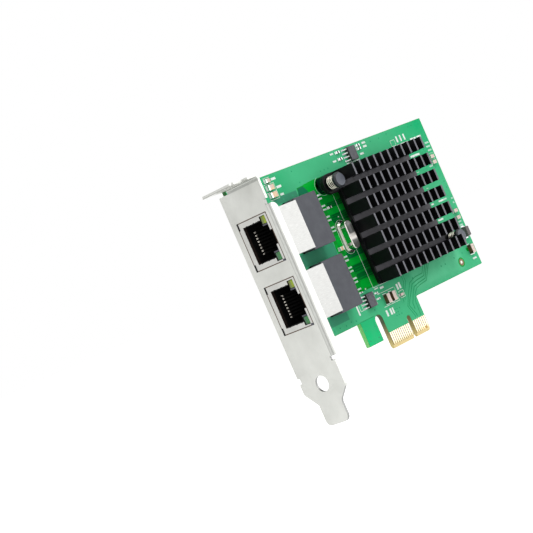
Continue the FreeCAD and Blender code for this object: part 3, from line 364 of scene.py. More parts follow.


# Finishes of the metal, plastic and ceramic parts, the print and the small gaps' painted shade
front = (-1.1, -0.8)  # the normal of faces that look away from the board
lampGlass = dict(rough=(0.18, 0.3), size=1.2, grain=0.3, Subsurface_Weight=0.2, Subsurface_Scale=0.001)
finishes = {
    "bracket_steel": dict(
        dark=(190, 191, 186), light=(206, 207, 202), rough=(0.30, 0.42), size=9, grain=0.22, draw=(1, 1, 0.12),
        metal=1.0, worn=(214, 214, 210), wornReach=0.00006, zones=[
            dict(x=(-0.1, 0.9), ax=(-0.1, 0.5), h=(-3, 15.1), z=(-14, 67.3), tone=(150, 150, 148)),
            dict(x=(-12, -0.3), az=(-0.1, 0.5), z=(67.3, 68.5), tone=(204, 205, 200)),
            # painted shade: a dark line low on the tab's edges, two bands along the bend into the flange, and the
            # shade on the face under the tab
            dict(x=(-12, -0.3), az=(-0.1, 0.5), z=(67.3, 67.65), tone=(164, 165, 160)),
            dict(x=(-0.1, 0.3), h=(14.7, 15.6), z=(8.0, 59.0), tone=(162, 163, 159), soft=0.1),
            dict(x=(0.2, 0.6), h=(15.3, 15.82), z=(8.0, 59.0), tone=(156, 157, 153), soft=0.1),
            dict(x=(-0.95, 0.3), z=(66.2, 67.5), h=(1.6, 16.1), tone=(172, 174, 169), soft=0.1)]),
    "screw_steel": dict(dark=(150, 152, 152), light=(188, 190, 190), rough=(0.25, 0.4), size=1.5, grain=0.12,
                        relief=0.006, metal=1.0),
    "jack_shell_steel": dict(
        dark=(184, 184, 180), light=(200, 200, 196), rough=(0.26, 0.38), size=7, grain=0.2, draw=(0.1, 1, 1),
        # the zone is painted shade: a darker tone on the faces that look away from the board
        relief=0.003, metal=1.0, worn=(214, 214, 210), zones=[dict(ny=front, tone=(171, 171, 169))]),
    "jack_plastic": dict(
        dark=(8, 8, 9), light=(15, 15, 16), rough=(0.42, 0.6), size=2, grain=0.12, relief=0.01,
        gloss=0.15, zones=[
            # painted reflection: grey on the front faces near the lamps
            dict(x=(-0.1, 1.2), h=(9.9, 13.3), nx=(-1.1, -0.8), tone=(84, 84, 92)),
            dict(x=(-0.1, 1.3), h=(1.5, 2.4), tone=(46, 38, 34), soft=0.1)]),
    # in both lamps the first zone is a painted highlight on the rounded side, the second a painted shade line at the
    # edge of the recess
    "lamp_yellow": dict(
        dark=(128, 148, 26), light=(150, 172, 36), **lampGlass, zones=[
            dict(h=(9.9, 11.0), tone=(116, 124, 68), soft=0.2),
            dict(h=(12.2, 12.5), tone=(60, 66, 30), soft=0.08)]),
    "lamp_green": dict(
        dark=(46, 112, 56), light=(60, 130, 72), **lampGlass, zones=[
            dict(h=(9.9, 10.9), tone=(66, 108, 76), soft=0.2),
            dict(h=(12.2, 12.5), tone=(28, 60, 34), soft=0.08)]),
    "finger_gold": dict(
        dark=(226, 212, 182), light=(236, 227, 205), rough=(0.24, 0.38), size=1.2, grain=0.08, draw=(1, 1, 0.15),
        relief=0.002, metal=0.85, zones=[dict(z=(0.5, 1.9), tone=(212, 194, 150), soft=0.5)]),
    # contacts painted near black as shade, with a painted glint where the gold catches the light
    "contact_gold_shade_and_glint": dict(
        dark=(3, 3, 3), light=(6, 6, 5), rough=(0.5, 0.6), size=1.2, grain=0.08, draw=(0.15, 1, 1), relief=0.002,
        gloss=0.08, zones=[
            dict(x=(3.55, 4.2), h=(1.2, 2.6), tone=(246, 240, 228), rough=0.3, metal=0.7, soft=0.1)]),
    "plated_hole": dict(dark=(104, 86, 60), light=(128, 106, 74), rough=(0.3, 0.45), size=1.2, metal=0.4),
    # the rubbed edge tone here is a painted highlight; the zones are a painted reflection on the base between the
    # fins and a painted highlight on the fin tops
    "heat_sink_aluminium": dict(
        dark=(7, 7, 8), light=(12, 12, 14), rough=(0.34, 0.5), size=6, grain=0.16, draw=(0.12, 1, 1), relief=0.008,
        worn=(96, 96, 102), wornReach=0.00012, wornAmount=0.4, gloss=0.18, zones=[
            dict(ny=front, h=(3.3, 3.9), x=(48.0, 87.5), z=(21.0, 61.3), tone=(80, 79, 84)),
            dict(ny=front, h=(11.7, 12.3), tone=(110, 110, 117))]),
    "pin_plastic": dict(dark=(30, 33, 37), light=(38, 41, 46), rough=(0.35, 0.5), size=1.5, relief=0.012,
                        # the zone is a painted highlight on the heads' outward faces
                        gloss=0.3, zones=[dict(ny=front, h=(7.2, 8.6), tone=(92, 96, 105))]),
    "spring_steel": dict(dark=(164, 161, 149), light=(196, 193, 181), rough=(0.16, 0.28), size=1.0,
                         relief=0.002, metal=1.0),
    # the zones are painted reflections and highlights on the can and its flange
    "crystal_metal": dict(
        dark=(206, 208, 200), light=(224, 226, 218), rough=(0.05, 0.09), size=2.5, grain=0.15, relief=0.0004,
        metal=1.0, zones=[
            dict(ny=front, x=(43.0, 46.2), h=(1, 4), tone=(96, 97, 93), metal=0.2, rough=0.3, soft=0.1),
            dict(ny=front, z=(38.2, 40.2), h=(1, 4), tone=(244, 240, 232), metal=0.2, rough=0.3, soft=0.3),
            dict(ny=front, z=(40.5, 44.0), x=(43.6, 45.0), h=(1, 4), tone=(130, 131, 128), soft=0.2),
            dict(x=(41.9, 42.75), h=(-0.1, 0.7), tone=(244, 242, 234), metal=0.1, rough=0.3),
            dict(ny=front, x=(42.6, 43.05), h=(2.5, 3.6), tone=(244, 242, 234), metal=0.1, rough=0.3)]),
    "lead_metal": dict(dark=(244, 244, 245), light=(255, 255, 255), rough=(0.24, 0.36), size=0.6, grain=0.08,
                       metal=0.2),
    "cap_metal": dict(
        dark=(208, 209, 210), light=(238, 238, 238), rough=(0.24, 0.36), size=0.6, grain=0.08, metal=1.0, zones=[
            dict(x=(20.7, 24), z=(59, 65.0), tone=(240, 204, 174), metal=0.0, rough=0.5),
            dict(x=(20.5, 24), z=(65.0, 67.5), tone=(214, 190, 178), metal=0.0, rough=0.5),
            dict(x=(101.4, 104.2), z=(29, 55), ny=front, tone=(226, 204, 188), metal=0.0, rough=0.5),
            # painted shade: the lower rows' end caps get dark brown sides, their front-facing tops a pale tone
            dict(x=(49.2, 104), z=(12, 21), tone=(74, 56, 38), metal=0.2),
            dict(x=(49.2, 104), z=(12, 21), ny=front, tone=(225, 206, 196), metal=0.0, rough=0.5),
            dict(x=(39.0, 41.9), z=(22, 57), tone=(228, 246, 240), metal=0.0)]),
    "solder": dict(
        dark=(178, 180, 182), light=(214, 216, 218), rough=(0.22, 0.4), size=0.7, grain=0.12, relief=0.012,
        # the zone is a painted highlight on faces turned towards the bracket
        metal=1.0, zones=[dict(nx=(-2, -0.3), h=(0, 2), tone=(240, 242, 242), metal=0.2)]),
    "transformer_plastic": dict(dark=(57, 59, 67), light=(68, 71, 78), rough=(0.5, 0.66), size=3, relief=0.016),
    # the grey base tone is a painted sheen on the tops; the zone gives the other faces the moulding's near black
    "chip_plastic": dict(dark=(58, 58, 64), light=(80, 80, 88), rough=(0.45, 0.6), size=1.5, grain=0.09,
                         relief=0.014, zones=[dict(ny=(-0.6, 2), tone=(9, 9, 10))]),
    "package_plastic": dict(dark=(40, 40, 44), light=(56, 56, 60), rough=(0.5, 0.62), size=2, relief=0.012),
    "thermal_pad": dict(dark=(140, 150, 168), light=(164, 174, 190), rough=(0.7, 0.85), size=2, grain=0.15,
                        relief=0.02),
    "ferrite": dict(dark=(44, 42, 42), light=(66, 62, 60), rough=(0.55, 0.75), size=0.9, grain=0.08, relief=0.02),
    "capacitor_resin": dict(dark=(80, 74, 74), light=(98, 92, 92), rough=(0.5, 0.62), size=1.5, relief=0.014),
    # the brown base tone is painted shade on the sides; the front-facing tops carry the ceramic's pale tone
    "capacitor_ceramic": dict(
        dark=(84, 56, 34), light=(104, 72, 46), rough=(0.4, 0.55), size=0.7, grain=0.06, relief=0.006, zones=[
            dict(ny=front, tone=(222, 202, 192)),
            dict(ny=front, spot=(20.3, 61.15, 2.4), tone=(242, 208, 172)),
            dict(ny=front, spot=(39.9, 36.9, 1.8), tone=(228, 188, 148))]),
    "resistor_body": dict(dark=(30, 30, 33), light=(52, 52, 56), rough=(0.3, 0.45), size=0.6, grain=0.06,
                          zones=[dict(x=(39.0, 41.9), z=(22, 57), tone=(196, 222, 214))]),
    "holeSolder": dict(dark=(226, 222, 212), light=(246, 244, 236), rough=(0.3, 0.45), size=0.5, grain=0.06,
                       relief=0.006, metal=0.3),
    "gapShade": dict(dark=(70, 56, 44), light=(96, 78, 64), rough=(0.5, 0.7), size=1.5, gloss=0.2),
    "boardPrint": dict(
        dark=(214, 226, 218), light=(238, 244, 240), rough=(0.5, 0.7), size=1.2, relief=0.006, zones=[
            dict(x=(99.5, 106), z=(24, 60), tone=(178, 222, 200)),
            dict(x=(40, 47), z=(53.8, 62), tone=(170, 214, 192))]),
}
mats = {name: makeFinish(name, **settings) for name, settings in finishes.items()}

# The board itself: green film over laminate, bare laminate at the edges and between the fingers.
# The walls' tones change with z, in steps of start, end and tone.
boardFilm = {
    "bare": (0, 156, 46), "bareDark": (0, 142, 42), "cream": (104, 80, 40), "creamDark": (82, 62, 30),
    "tongue": {"x": (43.5, 66), "z": (-1, 5.42), "soft": 0.01},
    "shortFinger": {"x": (61.4, 66), "z": (-1, 2.6), "soft": 0.01}, "fingerEnd": (196, 158, 92),
    "wallLow": (240, 220, 150), "wallSteps": ((1.0, 5.5, (170, 160, 112)), (5.5, 9.0, (104, 118, 92))),
    "leg": {"x": (33.5, 35.0), "z": (3, 12.3)}, "legWall": (146, 236, 142),
    "outerStep": (12.2, 12.6), "outerWall": (58, 112, 64), "grime": (40, 52, 36),
    "slope": {"z": (-0.1, 1.3), "ny": (-0.99, -0.2)}, "bevel": (240, 218, 158)}


def makeBoard():
    s = boardFilm
    mat, tree, shader = startMaterial("board", gloss=0.06)
    marks = useGroup(tree, grainGroup, Size=5.0, Grain_size=0.3)
    cloth = useGroup(tree, weaveGroup, Pitch=0.5)["Cloth"]
    places = readPlaces(tree)

    def zone(name):
        return markZone(tree, places, s[name])

    def over(under, share, tone):
        return blendColours(tree, share, under, paint(*tone))

    face = over(paint(*s["bareDark"]), stretch(tree, marks["Patches"], 0.3, 0.7), s["bare"])
    face = blendColours(tree, zone("tongue"), face, over(paint(*s["cream"]), cloth, s["creamDark"]))
    face = over(face, zone("shortFinger"), s["fingerEnd"])
    wall = paint(*s["wallLow"])
    for low, high, tone in s["wallSteps"]:
        wall = over(wall, stretch(tree, places["z"], low, high), tone)
    wall = over(wall, zone("leg"), s["legWall"])
    wall = over(wall, stretch(tree, places["z"], *s["outerStep"]), s["outerWall"])
    wall = over(wall, stretch(tree, marks["Grain"], 0.35, 0.7, 0.0, 0.35), s["grime"])
    wall = over(wall, zone("slope"), s["bevel"])
    onFace = stretch(tree, sizeOf(tree, places["ny"]), 0.93, 0.98)
    fill(tree, shader, {"Base Color": blendColours(tree, onFace, wall, face),
                        "Roughness": stretch(tree, onFace, 0.0, 1.0, 0.75, 0.4),
                        "Normal": bumpOf(tree, cloth, 0.006, 0.6)})
    return mat


# Green film: each tone goes from near the board's upper right corner to far from it, over spread in mm; the gradient
# is a painted sheen
filmCorner = (107, 70)
films = {
    "copperFilm": dict(tones=[(0, 172, 108), (72, 187, 132)], spread=(5, 28), zones=[
        dict(x=(33, 41.75), z=(3, 12.5), tone=(30, 186, 116), soft=0.15),
        dict(x=(33, 41.75), z=(2, 8), tone=(0, 200, 120), soft=1.6),
        dict(x=(34.2, 41.75), z=(12.35, 12.6), tone=(30, 140, 84), soft=0.08),
        # painted shade towards the far left, then painted light where the heat sink's shadow falls below its lower
        # edge
        dict(x=(17, 29), z=(59, 69), tone=(52, 178, 118), soft=3.0),
        dict(x=(67, 96), z=(13.5, 20.8), ny=front, tone=(100, 206, 154), soft=1.2)]),
    "chassisShadeFilm": dict(tones=[(58, 146, 110), (64, 152, 116)], spread=(20, 90)),
    "traceFilm": dict(tones=[(6, 150, 90), (36, 154, 96)]),
    "ringFilm": dict(tones=[(30, 168, 110), (60, 176, 124)]),
    "brightFilm": dict(tones=[(0, 174, 52)] * 2, clothShare=0.1),
    "midFilm": dict(tones=[(0, 140, 48)] * 2, clothShare=0.1),
    "deepFilm": dict(tones=[(0, 104, 42)] * 2, clothShare=0.1),
    "nightFilm": dict(tones=[(0, 58, 32), (0, 46, 26)], spread=(40, 80), clothShare=0.1),
    "tealFilm": dict(tones=[(0, 112, 56)] * 2, clothShare=0.1),
    "darkFilm": dict(tones=[(0, 96, 60), (22, 118, 80)], clothShare=0.1),
}


def makeFilm(name, tones, spread=(6, 30), zones=(), clothShare=0.16):
    mat, tree, shader = startMaterial(name, gloss=0.03)
    marks = useGroup(tree, grainGroup, Size=7.0, Grain_size=0.35)
    cloth = useGroup(tree, weaveGroup, Pitch=0.5)["Cloth"]
    places = readPlaces(tree)
    away = stretch(tree, distanceFrom(tree, places, *filmCorner), *spread)
    tone = blendColours(tree, away, paint(*tones[0]), paint(*tones[1]))
    for zone in zones:
        tone = blendColours(tree, markZone(tree, places, zone), tone, paint(*zone["tone"]))
    tone = blendColours(tree, stretch(tree, marks["Patches"], 0.3, 0.7, 0.0, 0.5), tone, shadeOf(tones[1], 0.94))
    tone = blendColours(tree, stretch(tree, cloth, 0.0, 1.0, 0.0, clothShare), tone, shadeOf(tones[1], 0.8))
    fill(tree, shader, {"Base Color": tone, "Roughness": stretch(tree, marks["Grain"], 0.3, 0.7, 0.3, 0.44),
                        "Normal": bumpOf(tree, marks["Relief"], 0.006, 0.6)})
    return mat


mats["board"] = makeBoard()
mats.update({name: makeFilm(name, **settings) for name, settings in films.items()})
print("finishes mixed:", len(mats))


# Mesh code for thin layers and small details

def circleOf(x, z, r, steps=28):
    turns = [2 * math.pi * i / steps for i in range(steps)]
    return [(x + r * math.cos(a), z + r * math.sin(a)) for a in turns]


def cornersAt(bm, points, h):
    return [bm.verts.new(onBoard(x, z, h)) for x, z in points]


def joinRows(bm, first, second, closed=True):
    for i in range(len(first) - (not closed)):
        j = (i + 1) % len(first)
        bm.faces.new((first[i], first[j], second[j], second[i]))


def addStack(bm, outlines):
    # closed body from outlines at rising heights
    rows = [cornersAt(bm, points, h) for points, h in outlines]
    bm.faces.new(rows[-1])
    bm.faces.new(rows[0][::-1])
    for lower, upper in zip(rows, rows[1:]):
        joinRows(bm, lower, upper)


def addPlate(bm, outline, low, high):
    addStack(bm, [(outline, low), (outline, high)])


def addBar(bm, x0, x1, z0, z1, low, high):
    addPlate(bm, [(x0, z0), (x1, z0), (x1, z1), (x0, z1)], low, high)


def addRing(bm, x, z, inner, outer, low, high, steps=14):
    rows = [cornersAt(bm, circleOf(x, z, r, steps), h)
            for r, h in ((inner, low), (outer, low), (outer, high), (inner, high))]
    for first, second in zip(rows, rows[1:] + rows[:1]):
        joinRows(bm, first, second)


def addDisc(bm, x, z, r, low, high, steps=10):
    addPlate(bm, circleOf(x, z, r, steps), low, high)


def addStrip(bm, points, width, low, high):
    # flat strip along points with mitred corners
    left, right = [], []
    flat = [Vector(p) for p in points]
    for i, p in enumerate(flat):
        before = (p - flat[i - 1]).normalized() if i else None
        after = (flat[i + 1] - p).normalized() if i < len(flat) - 1 else None
        along = (before or after) if not (before and after) else (before + after).normalized()
        side = Vector((-along.y, along.x))
        if before and after:
            side /= max(0.35, abs(side.dot(Vector((-before.y, before.x)))))
        left.append(p + side * width / 2)
        right.append(p - side * width / 2)
    rows = [cornersAt(bm, line, h) for line, h in ((left, low), (right, low), (right, high), (left, high))]
    for first, second in zip(rows, rows[1:] + rows[:1]):
        joinRows(bm, first, second, closed=False)
    bm.faces.new([row[0] for row in rows])
    bm.faces.new([row[-1] for row in rows][::-1])


def addLoop(bm, points, width, low, high):
    # closed line of print
    for a, b in zip(points, points[1:] + points[:1]):
        step = (Vector(b) - Vector(a)).normalized() * width / 2
        addStrip(bm, [Vector(a) - step, Vector(b) + step], width, low, high)


def addBox(bm, x0, x1, z0, z1, width, low, high):
    addLoop(bm, [(x0, z0), (x1, z0), (x1, z1), (x0, z1)], width, low, high)


def makePiece(name, bm, material):
    bmesh.ops.recalc_face_normals(bm, faces=bm.faces)
    mesh = bpy.data.meshes.new(name)
    bm.to_mesh(mesh)
    bm.free()
    mesh.materials.append(mats[material])
    piece = addObject(name, mesh)
    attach(piece, "root")


def cutSheet(name, outline, holes, low, high, material):
    # thin sheet with holes, filled as a flat curve and then kept as a mesh
    flat = bpy.data.curves.new(name, "CURVE")
    flat.dimensions = "2D"
    flat.fill_mode = "BOTH"
    flat.extrude = abs(high - low) / 2 * mm
    for ring in [outline] + holes:
        line = flat.splines.new("POLY")
        line.points.add(len(ring) - 1)
        for point, (x, z) in zip(line.points, ring):
            point.co = ((x - place["keyX"]) * mm, z * mm, 0, 1)
        line.use_cyclic_u = True
    holder = addObject(name + "Curve", flat)
    bpy.context.view_layer.update()
    mesh = bpy.data.meshes.new_from_object(holder.evaluated_get(bpy.context.evaluated_depsgraph_get()))
    bpy.data.objects.remove(holder)
    middle = -(low + high) / 2 - place["half"]
    mesh.transform(Matrix.Translation((0, middle * mm, 0)) @ Matrix.Rotation(math.pi / 2, 4, "X"))
    bm = bmesh.new()
    bm.from_mesh(mesh)
    bpy.data.meshes.remove(mesh)
    bmesh.ops.remove_doubles(bm, verts=bm.verts, dist=1e-7)
    makePiece(name, bm, material)


# Layers on the component side, heights in mm
layers = {"copper": (0.0, 0.012), "trace": (0.012, 0.02), "print": (0.02, 0.032)}
# The copper's outline: leg is x from, x to and foot; slot and key are middle x, half width and top
boardEdge = {"inset": 0.08, "x0": 1.4, "x1": 105.5, "z0": 12.25, "z1": 67.9, "leg": (34.2, 41.6, 4.0),
             "slot": (43.45, 1.85, 12.4), "tongue": (45.3, 65.5), "key": (57.4, 0.95, 7.7), "fingerTop": 5.42}


def boardOutline():
    b, inset, floor = boardEdge, boardEdge["inset"], boardEdge["fingerTop"]
    keyX, keyHalf, _ = b["key"]

    def arch(x, half, top, turn):
        # round top of a slot, turn degrees a step
        r = half + inset
        angles = [math.radians(180 - turn * i) for i in range(180 // turn + 1)]
        return [(x + r * math.cos(a), top - half + r * math.sin(a)) for a in angles]

    return [(b["x0"] + inset, b["z1"] - inset), (b["x0"] + inset, b["z0"] + inset),
            (b["leg"][0] + inset, b["z0"] + inset), (b["leg"][0] + inset, b["leg"][2] + inset),
            (b["leg"][1] - inset, b["leg"][2] + inset), *arch(*b["slot"], 15),
            (b["tongue"][0] + inset, floor), (keyX - keyHalf - inset, floor), *arch(*b["key"], 20),
            (keyX + keyHalf + inset, floor), (b["tongue"][1] - inset, floor),
            (b["tongue"][1] - inset, b["z0"] + inset), (b["x1"] - inset, b["z0"] + inset),
            (b["x1"] - inset, b["z1"] - inset)]


# Copper with its openings: round the plated hole, the push pins, and the window beside and under the heat
# sink, where darker bands and bright fills of film show
copper = {"hole": circleOf(*place["platedHole"], 1.7), "dot": circleOf(101.0, 18.9, 0.75),
          "pins": [circleOf(x, z, 3.4) for x, z in place["pins"]],
          "window": [(32.0, 57.4), (32.0, 60.5), (35.6, 60.7), (38.5, 61.1), (41.0, 61.2), (53.4, 61.1),
                     (53.4, 21.3), (38.0, 21.3), (38.0, 57.4)]}
cutSheet("copper_front", boardOutline(), [copper["window"], copper["hole"], copper["dot"]],
         *layers["copper"], "copperFilm")
cutSheet("copper_back", boardOutline(), [copper["hole"], *copper["pins"]],
         -place["thick"], -place["thick"] - layers["copper"][1], "copperFilm")

# Film areas inside the window: material, then x and z ranges
windowFills = {
    "window_bright": ("brightFilm", [(41.3, 53.2, 48.4, 50.4), (39.5, 42.0, 37.5, 41.5), (37.8, 39.6, 36.0, 38.8),
                                     (41.6, 53.2, 30.5, 32.6), (35.2, 42.0, 57.9, 60.9)]),
    "window_deep": ("deepFilm", [(42.3, 53.2, 50.6, 52.3), (41.8, 53.2, 45.3, 48.2), (42.2, 53.2, 38.0, 41.3),
                                 (41.6, 53.2, 27.9, 30.3), (41.9, 53.2, 25.1, 27.3), (46.9, 53.2, 54.9, 57.0)]),
    "window_teal": ("tealFilm", [(41.5, 53.2, 32.8, 35.0), (41.7, 53.2, 42.0, 43.6)]),
}
cornerFill = [(42.1, 24.0), (43.2, 24.9), (46.4, 24.6), (50.0, 24.4), (50.0, 21.7), (41.7, 22.1)]
# Print and a painted shadow in dark film round the heat sink's upper left ear, angles in degrees
earOutline = {"x": 43.7, "z": 58.2, "reach": 3.25, "from": 105, "to": 285, "turn": 12, "filmInset": 0.35,
              "film": [(46.8, 55.3), (46.8, 61.0)]}


def earArc(inset=0.0):
    e = earOutline
    r = e["reach"] - inset
    angles = [math.radians(a) for a in range(e["from"], e["to"] + 1, e["turn"])]
    return [(e["x"] + r * math.cos(a), e["z"] + r * math.sin(a)) for a in angles]


def fillWindow():
    low, high = layers["copper"]
    for name, (material, areas) in windowFills.items():
        bm = bmesh.new()
        for x0, x1, z0, z1 in areas:
            cut = min(0.4, (x1 - x0) / 3, (z1 - z0) / 3)  # clipped left corners
            addPlate(bm, [(x0 + cut, z0), (x1, z0), (x1, z1), (x0 + cut, z1), (x0, z1 - cut), (x0, z0 + cut)],
                     low, high)
        if name == "window_bright":
            addPlate(bm, cornerFill, low, high)
        makePiece(name, bm, material)
    bm = bmesh.new()
    addPlate(bm, earOutline["film"] + earArc(earOutline["filmInset"]), low, high)
    makePiece("window_shade", bm, "nightFilm")


# Darker film where the ground copper stops beside the jacks, toned greyer as painted shade and a painted reflection
# of the jack shells; and under the upper module, a painted shadow of the module
chassisAndShade = {"areas": [(19.6, 31.3, 57.8, 60.0), (19.6, 37.6, 35.9, 40.0), (19.6, 30.5, 15.0, 18.1),
                     (33.2, 37.6, 18.2, 35.9), (33.2, 37.6, 40.0, 57.2)],
           "dark": [(31.5, 57.9), (32.4, 60.3), (35.2, 60.3), (36.5, 58.4), (36.5, 57.9)], "high": 0.015}


def layChassisAndShade():
    low, high = layers["copper"][1], chassisAndShade["high"]
    bm = bmesh.new()
    for area in chassisAndShade["areas"]:
        addBar(bm, *area, low, high)
    makePiece("chassis_shade_film", bm, "chassisShadeFilm")
    bm = bmesh.new()
    addPlate(bm, chassisAndShade["dark"], low, high)
    makePiece("dark_film", bm, "darkFilm")


# Tracks: width, then the points. In the window most run straight under the heat sink: width, start x and z
windowEnd = 53.0
bentTrack = (0.30, [(41.0, 24.4), (42.2, 25.2), (43.0, 25.6), (windowEnd, 25.6)])
windowTracks = [
    (0.34, 41.2, 27.6), (0.26, 42.4, 29.3), (0.24, 42.0, 28.5), (0.20, 42.0, 47.6), (0.20, 42.0, 46.9),
    (0.20, 42.4, 46.2), (0.22, 42.6, 51.1), (0.22, 42.6, 51.8), (0.24, 41.6, 34.2), (0.24, 41.6, 33.5),
    (0.24, 42.8, 55.6), (0.24, 42.8, 56.4), (0.22, 42.0, 42.5), (0.22, 42.0, 43.1)]
looseTracks = [
    (0.26, [(78.3, 20.6), (73.6, 15.5), (69.6, 15.1), (67.4, 14.6), (65.2, 12.9), (64.0, 10.6), (63.8, 7.0),
            (63.6, 6.0)]),
    (0.30, [(77.2, 20.6), (73.4, 16.3), (69.2, 15.9), (66.4, 15.4), (64.3, 13.2), (62.4, 10.6), (62.3, 8.6)]),
    (0.30, [(76.1, 20.6), (73.3, 17.3), (69.0, 17.0), (65.8, 16.4), (63.5, 13.9), (61.9, 12.4), (60.3, 10.4),
            (61.9, 6.9), (61.9, 6.0)]),
    (0.26, [(74.9, 20.6), (73.0, 18.3), (68.6, 18.2), (65.0, 17.2), (61.6, 13.4), (59.4, 10.4), (60.9, 6.8),
            (60.9, 6.0)]),
    (0.22, [(62.4, 20.6), (62.4, 18.4), (61.0, 16.6), (59.0, 14.4), (58.4, 12.2)]),
    (0.22, [(63.4, 20.6), (63.4, 18.2), (62.2, 16.8), (60.0, 14.4), (59.6, 12.8)]),
    (0.26, [(88.8, 47.2), (93.0, 47.2), (94.4, 45.8), (102.0, 45.8)]),
    (0.26, [(88.8, 41.0), (93.4, 41.0), (94.6, 42.2), (102.0, 42.2)]),
    (0.26, [(88.8, 35.2), (94.0, 35.2), (95.2, 36.4), (101.6, 36.4)]),
]


def layTracks():
    low, high = layers["copper"][1], layers["trace"][1]
    shaded = [(width, [(x, z), (windowEnd, z)]) for width, x, z in windowTracks] + [bentTrack]
    for name, lines, material in (("tracks_front", looseTracks, "traceFilm"),
                                  ("tracks_window", shaded, "midFilm")):
        bm = bmesh.new()
        for width, points in lines:
            addStrip(bm, points, width, low, high)
        makePiece(name, bm, material)


# Small plated holes under the film, dark in the middle; the first ones stand in the tongue's root
vias = {"ring": 0.32, "dot": 0.13, "ringHigh": 0.018, "dotHigh": 0.014,
        "places": [(52.6, 10.3), (53.8, 10.3), (52.8, 11.4), (53.8, 11.3), (55.2, 11.3), (52.5, 9.3), (53.7, 9.3),
                   (55.2, 9.3), (33.0, 66.2), (46.0, 62.9), (48.0, 62.9), (50.0, 62.9), (60.2, 62.4), (75.6, 66.3),
                   (80.4, 66.3), (85.0, 66.8), (97.6, 66.4), (99.6, 66.4), (100.6, 57.2), (100.6, 47.8),
                   (100.2, 40.2), (97.2, 40.2), (104.2, 41.8), (104.2, 44.0), (97.0, 24.4), (98.6, 22.8),
                   (97.4, 18.6), (92.2, 18.2), (86.4, 17.6), (84.0, 17.6), (67.4, 15.4), (67.4, 18.2), (33.0, 13.6),
                   (30.6, 14.0), (27.8, 13.6), (24.6, 13.8), (21.6, 13.6), (35.4, 9.4), (40.2, 9.4), (35.6, 5.6),
                   (40.0, 5.6), (43.4, 14.2), (34.6, 61.9), (29.0, 58.8), (24.4, 58.8)]}


def drillVias():
    low = layers["copper"][1]
    rings, dots = bmesh.new(), bmesh.new()
    for x, z in vias["places"]:
        addRing(rings, x, z, vias["dot"], vias["ring"], low, vias["ringHigh"])
        addDisc(dots, x, z, vias["dot"], low, vias["dotHigh"])
    makePiece("via_rings", rings, "ringFilm")
    makePiece("via_dots", dots, "darkFilm")


# White print: plain outlines and bars. Lines are points; boxes and bars are x and z ranges; dots have a radius
boardMarks = {
    "line": 0.15, "boxLine": 0.14,
    "lines": [
        earArc() + [(45.4, 55.15), (46.2, 55.0), (46.75, 54.6), (47.0, 53.8), (47.0, 20.9), (89.0, 20.9)],
        [(18.0, 65.0), (23.0, 65.0)], [(17.8, 62.2), (23.0, 62.2)], [(18.5, 59.7), (23.0, 59.7)],
        [(19.0, 67.1), (22.0, 67.1)], [(23.0, 59.5), (23.0, 65.0)], [(49.3, 18.3), (56.5, 18.3)],
        [(56.8, 13.3), (56.8, 18.0)], [(48.3, 13.5), (56.6, 13.5)], [(102.3, 52.7), (104.7, 52.7)],
        [(102.3, 54.9), (104.7, 54.9)], [(93.5, 44.0), (94.6, 44.0)], [(92.0, 50.4), (93.4, 50.4)]],
    "boxes": [(58.0, 60.4, 13.9, 16.2), (85.3, 87.7, 61.9, 64.0), (36.9, 38.3, 15.6, 18.0), (59.7, 66.7, 61.9, 62.1),
              (44.9, 45.1, 15.5, 20.0)],
    "bars": [
        (22.5, 24.7, 65.7, 66.5), (23.5, 25.8, 62.7, 63.5), (23.8, 25.5, 60.1, 60.8), (35.5, 36.2, 14.6, 18.0),
        (47.3, 49.2, 20.1, 20.5), (47.6, 48.8, 18.2, 18.6), (50.0, 52.0, 19.5, 20.2), (57.9, 58.8, 16.8, 18.8),
        (59.3, 60.2, 16.9, 19.0), (48.0, 48.9, 10.3, 12.4), (50.1, 51.0, 10.3, 12.4), (51.4, 52.1, 10.3, 12.4),
        (53.6, 55.3, 66.5, 67.1), (53.6, 55.3, 63.9, 64.5), (71.0, 72.9, 66.4, 67.1), (71.0, 72.9, 65.1, 65.8),
        (68.0, 70.0, 63.1, 63.8), (88.8, 89.6, 62.6, 64.8), (90.9, 91.7, 62.6, 64.8), (93.0, 93.8, 62.6, 64.8),
        (88.0, 94.5, 61.5, 61.9), (96.0, 97.6, 61.5, 62.3), (98.0, 99.3, 61.5, 62.3), (99.8, 102.3, 61.5, 62.3),
        (102.7, 104.8, 58.6, 59.2), (102.7, 104.8, 57.2, 57.8), (102.7, 104.8, 55.8, 56.4),
        (100.0, 102.0, 50.4, 51.0), (104.0, 104.9, 37.2, 37.8), (104.0, 104.9, 35.6, 36.2),
        (102.4, 104.2, 28.6, 29.2), (102.4, 104.2, 27.3, 27.9), (92.4, 97.6, 55.9, 56.6), (92.4, 93.8, 37.9, 38.5),
        (96.8, 101.6, 37.9, 38.5), (92.4, 95.4, 31.9, 32.5), (101.8, 104.0, 16.5, 17.1), (101.8, 104.0, 14.8, 15.4)],
    "dots": [(43.3, 21.7, 0.28), (45.2, 46.9, 0.22), (37.5, 57.3, 0.24)]}
crystalRing = {"x": 44.4, "z": 39.9, "width": 2.55, "reach": 5.9, "turn": 15}


def ringOfCrystal():
    # long ring with round ends
    c = crystalRing
    ring = []
    for side, start in ((1, 0), (-1, 180)):
        z = c["z"] + side * (c["reach"] - c["width"])
        for a in (math.radians(start + c["turn"] * i) for i in range(180 // c["turn"] + 1)):
            ring.append((c["x"] + c["width"] * math.cos(a), z + c["width"] * math.sin(a)))
    return ring


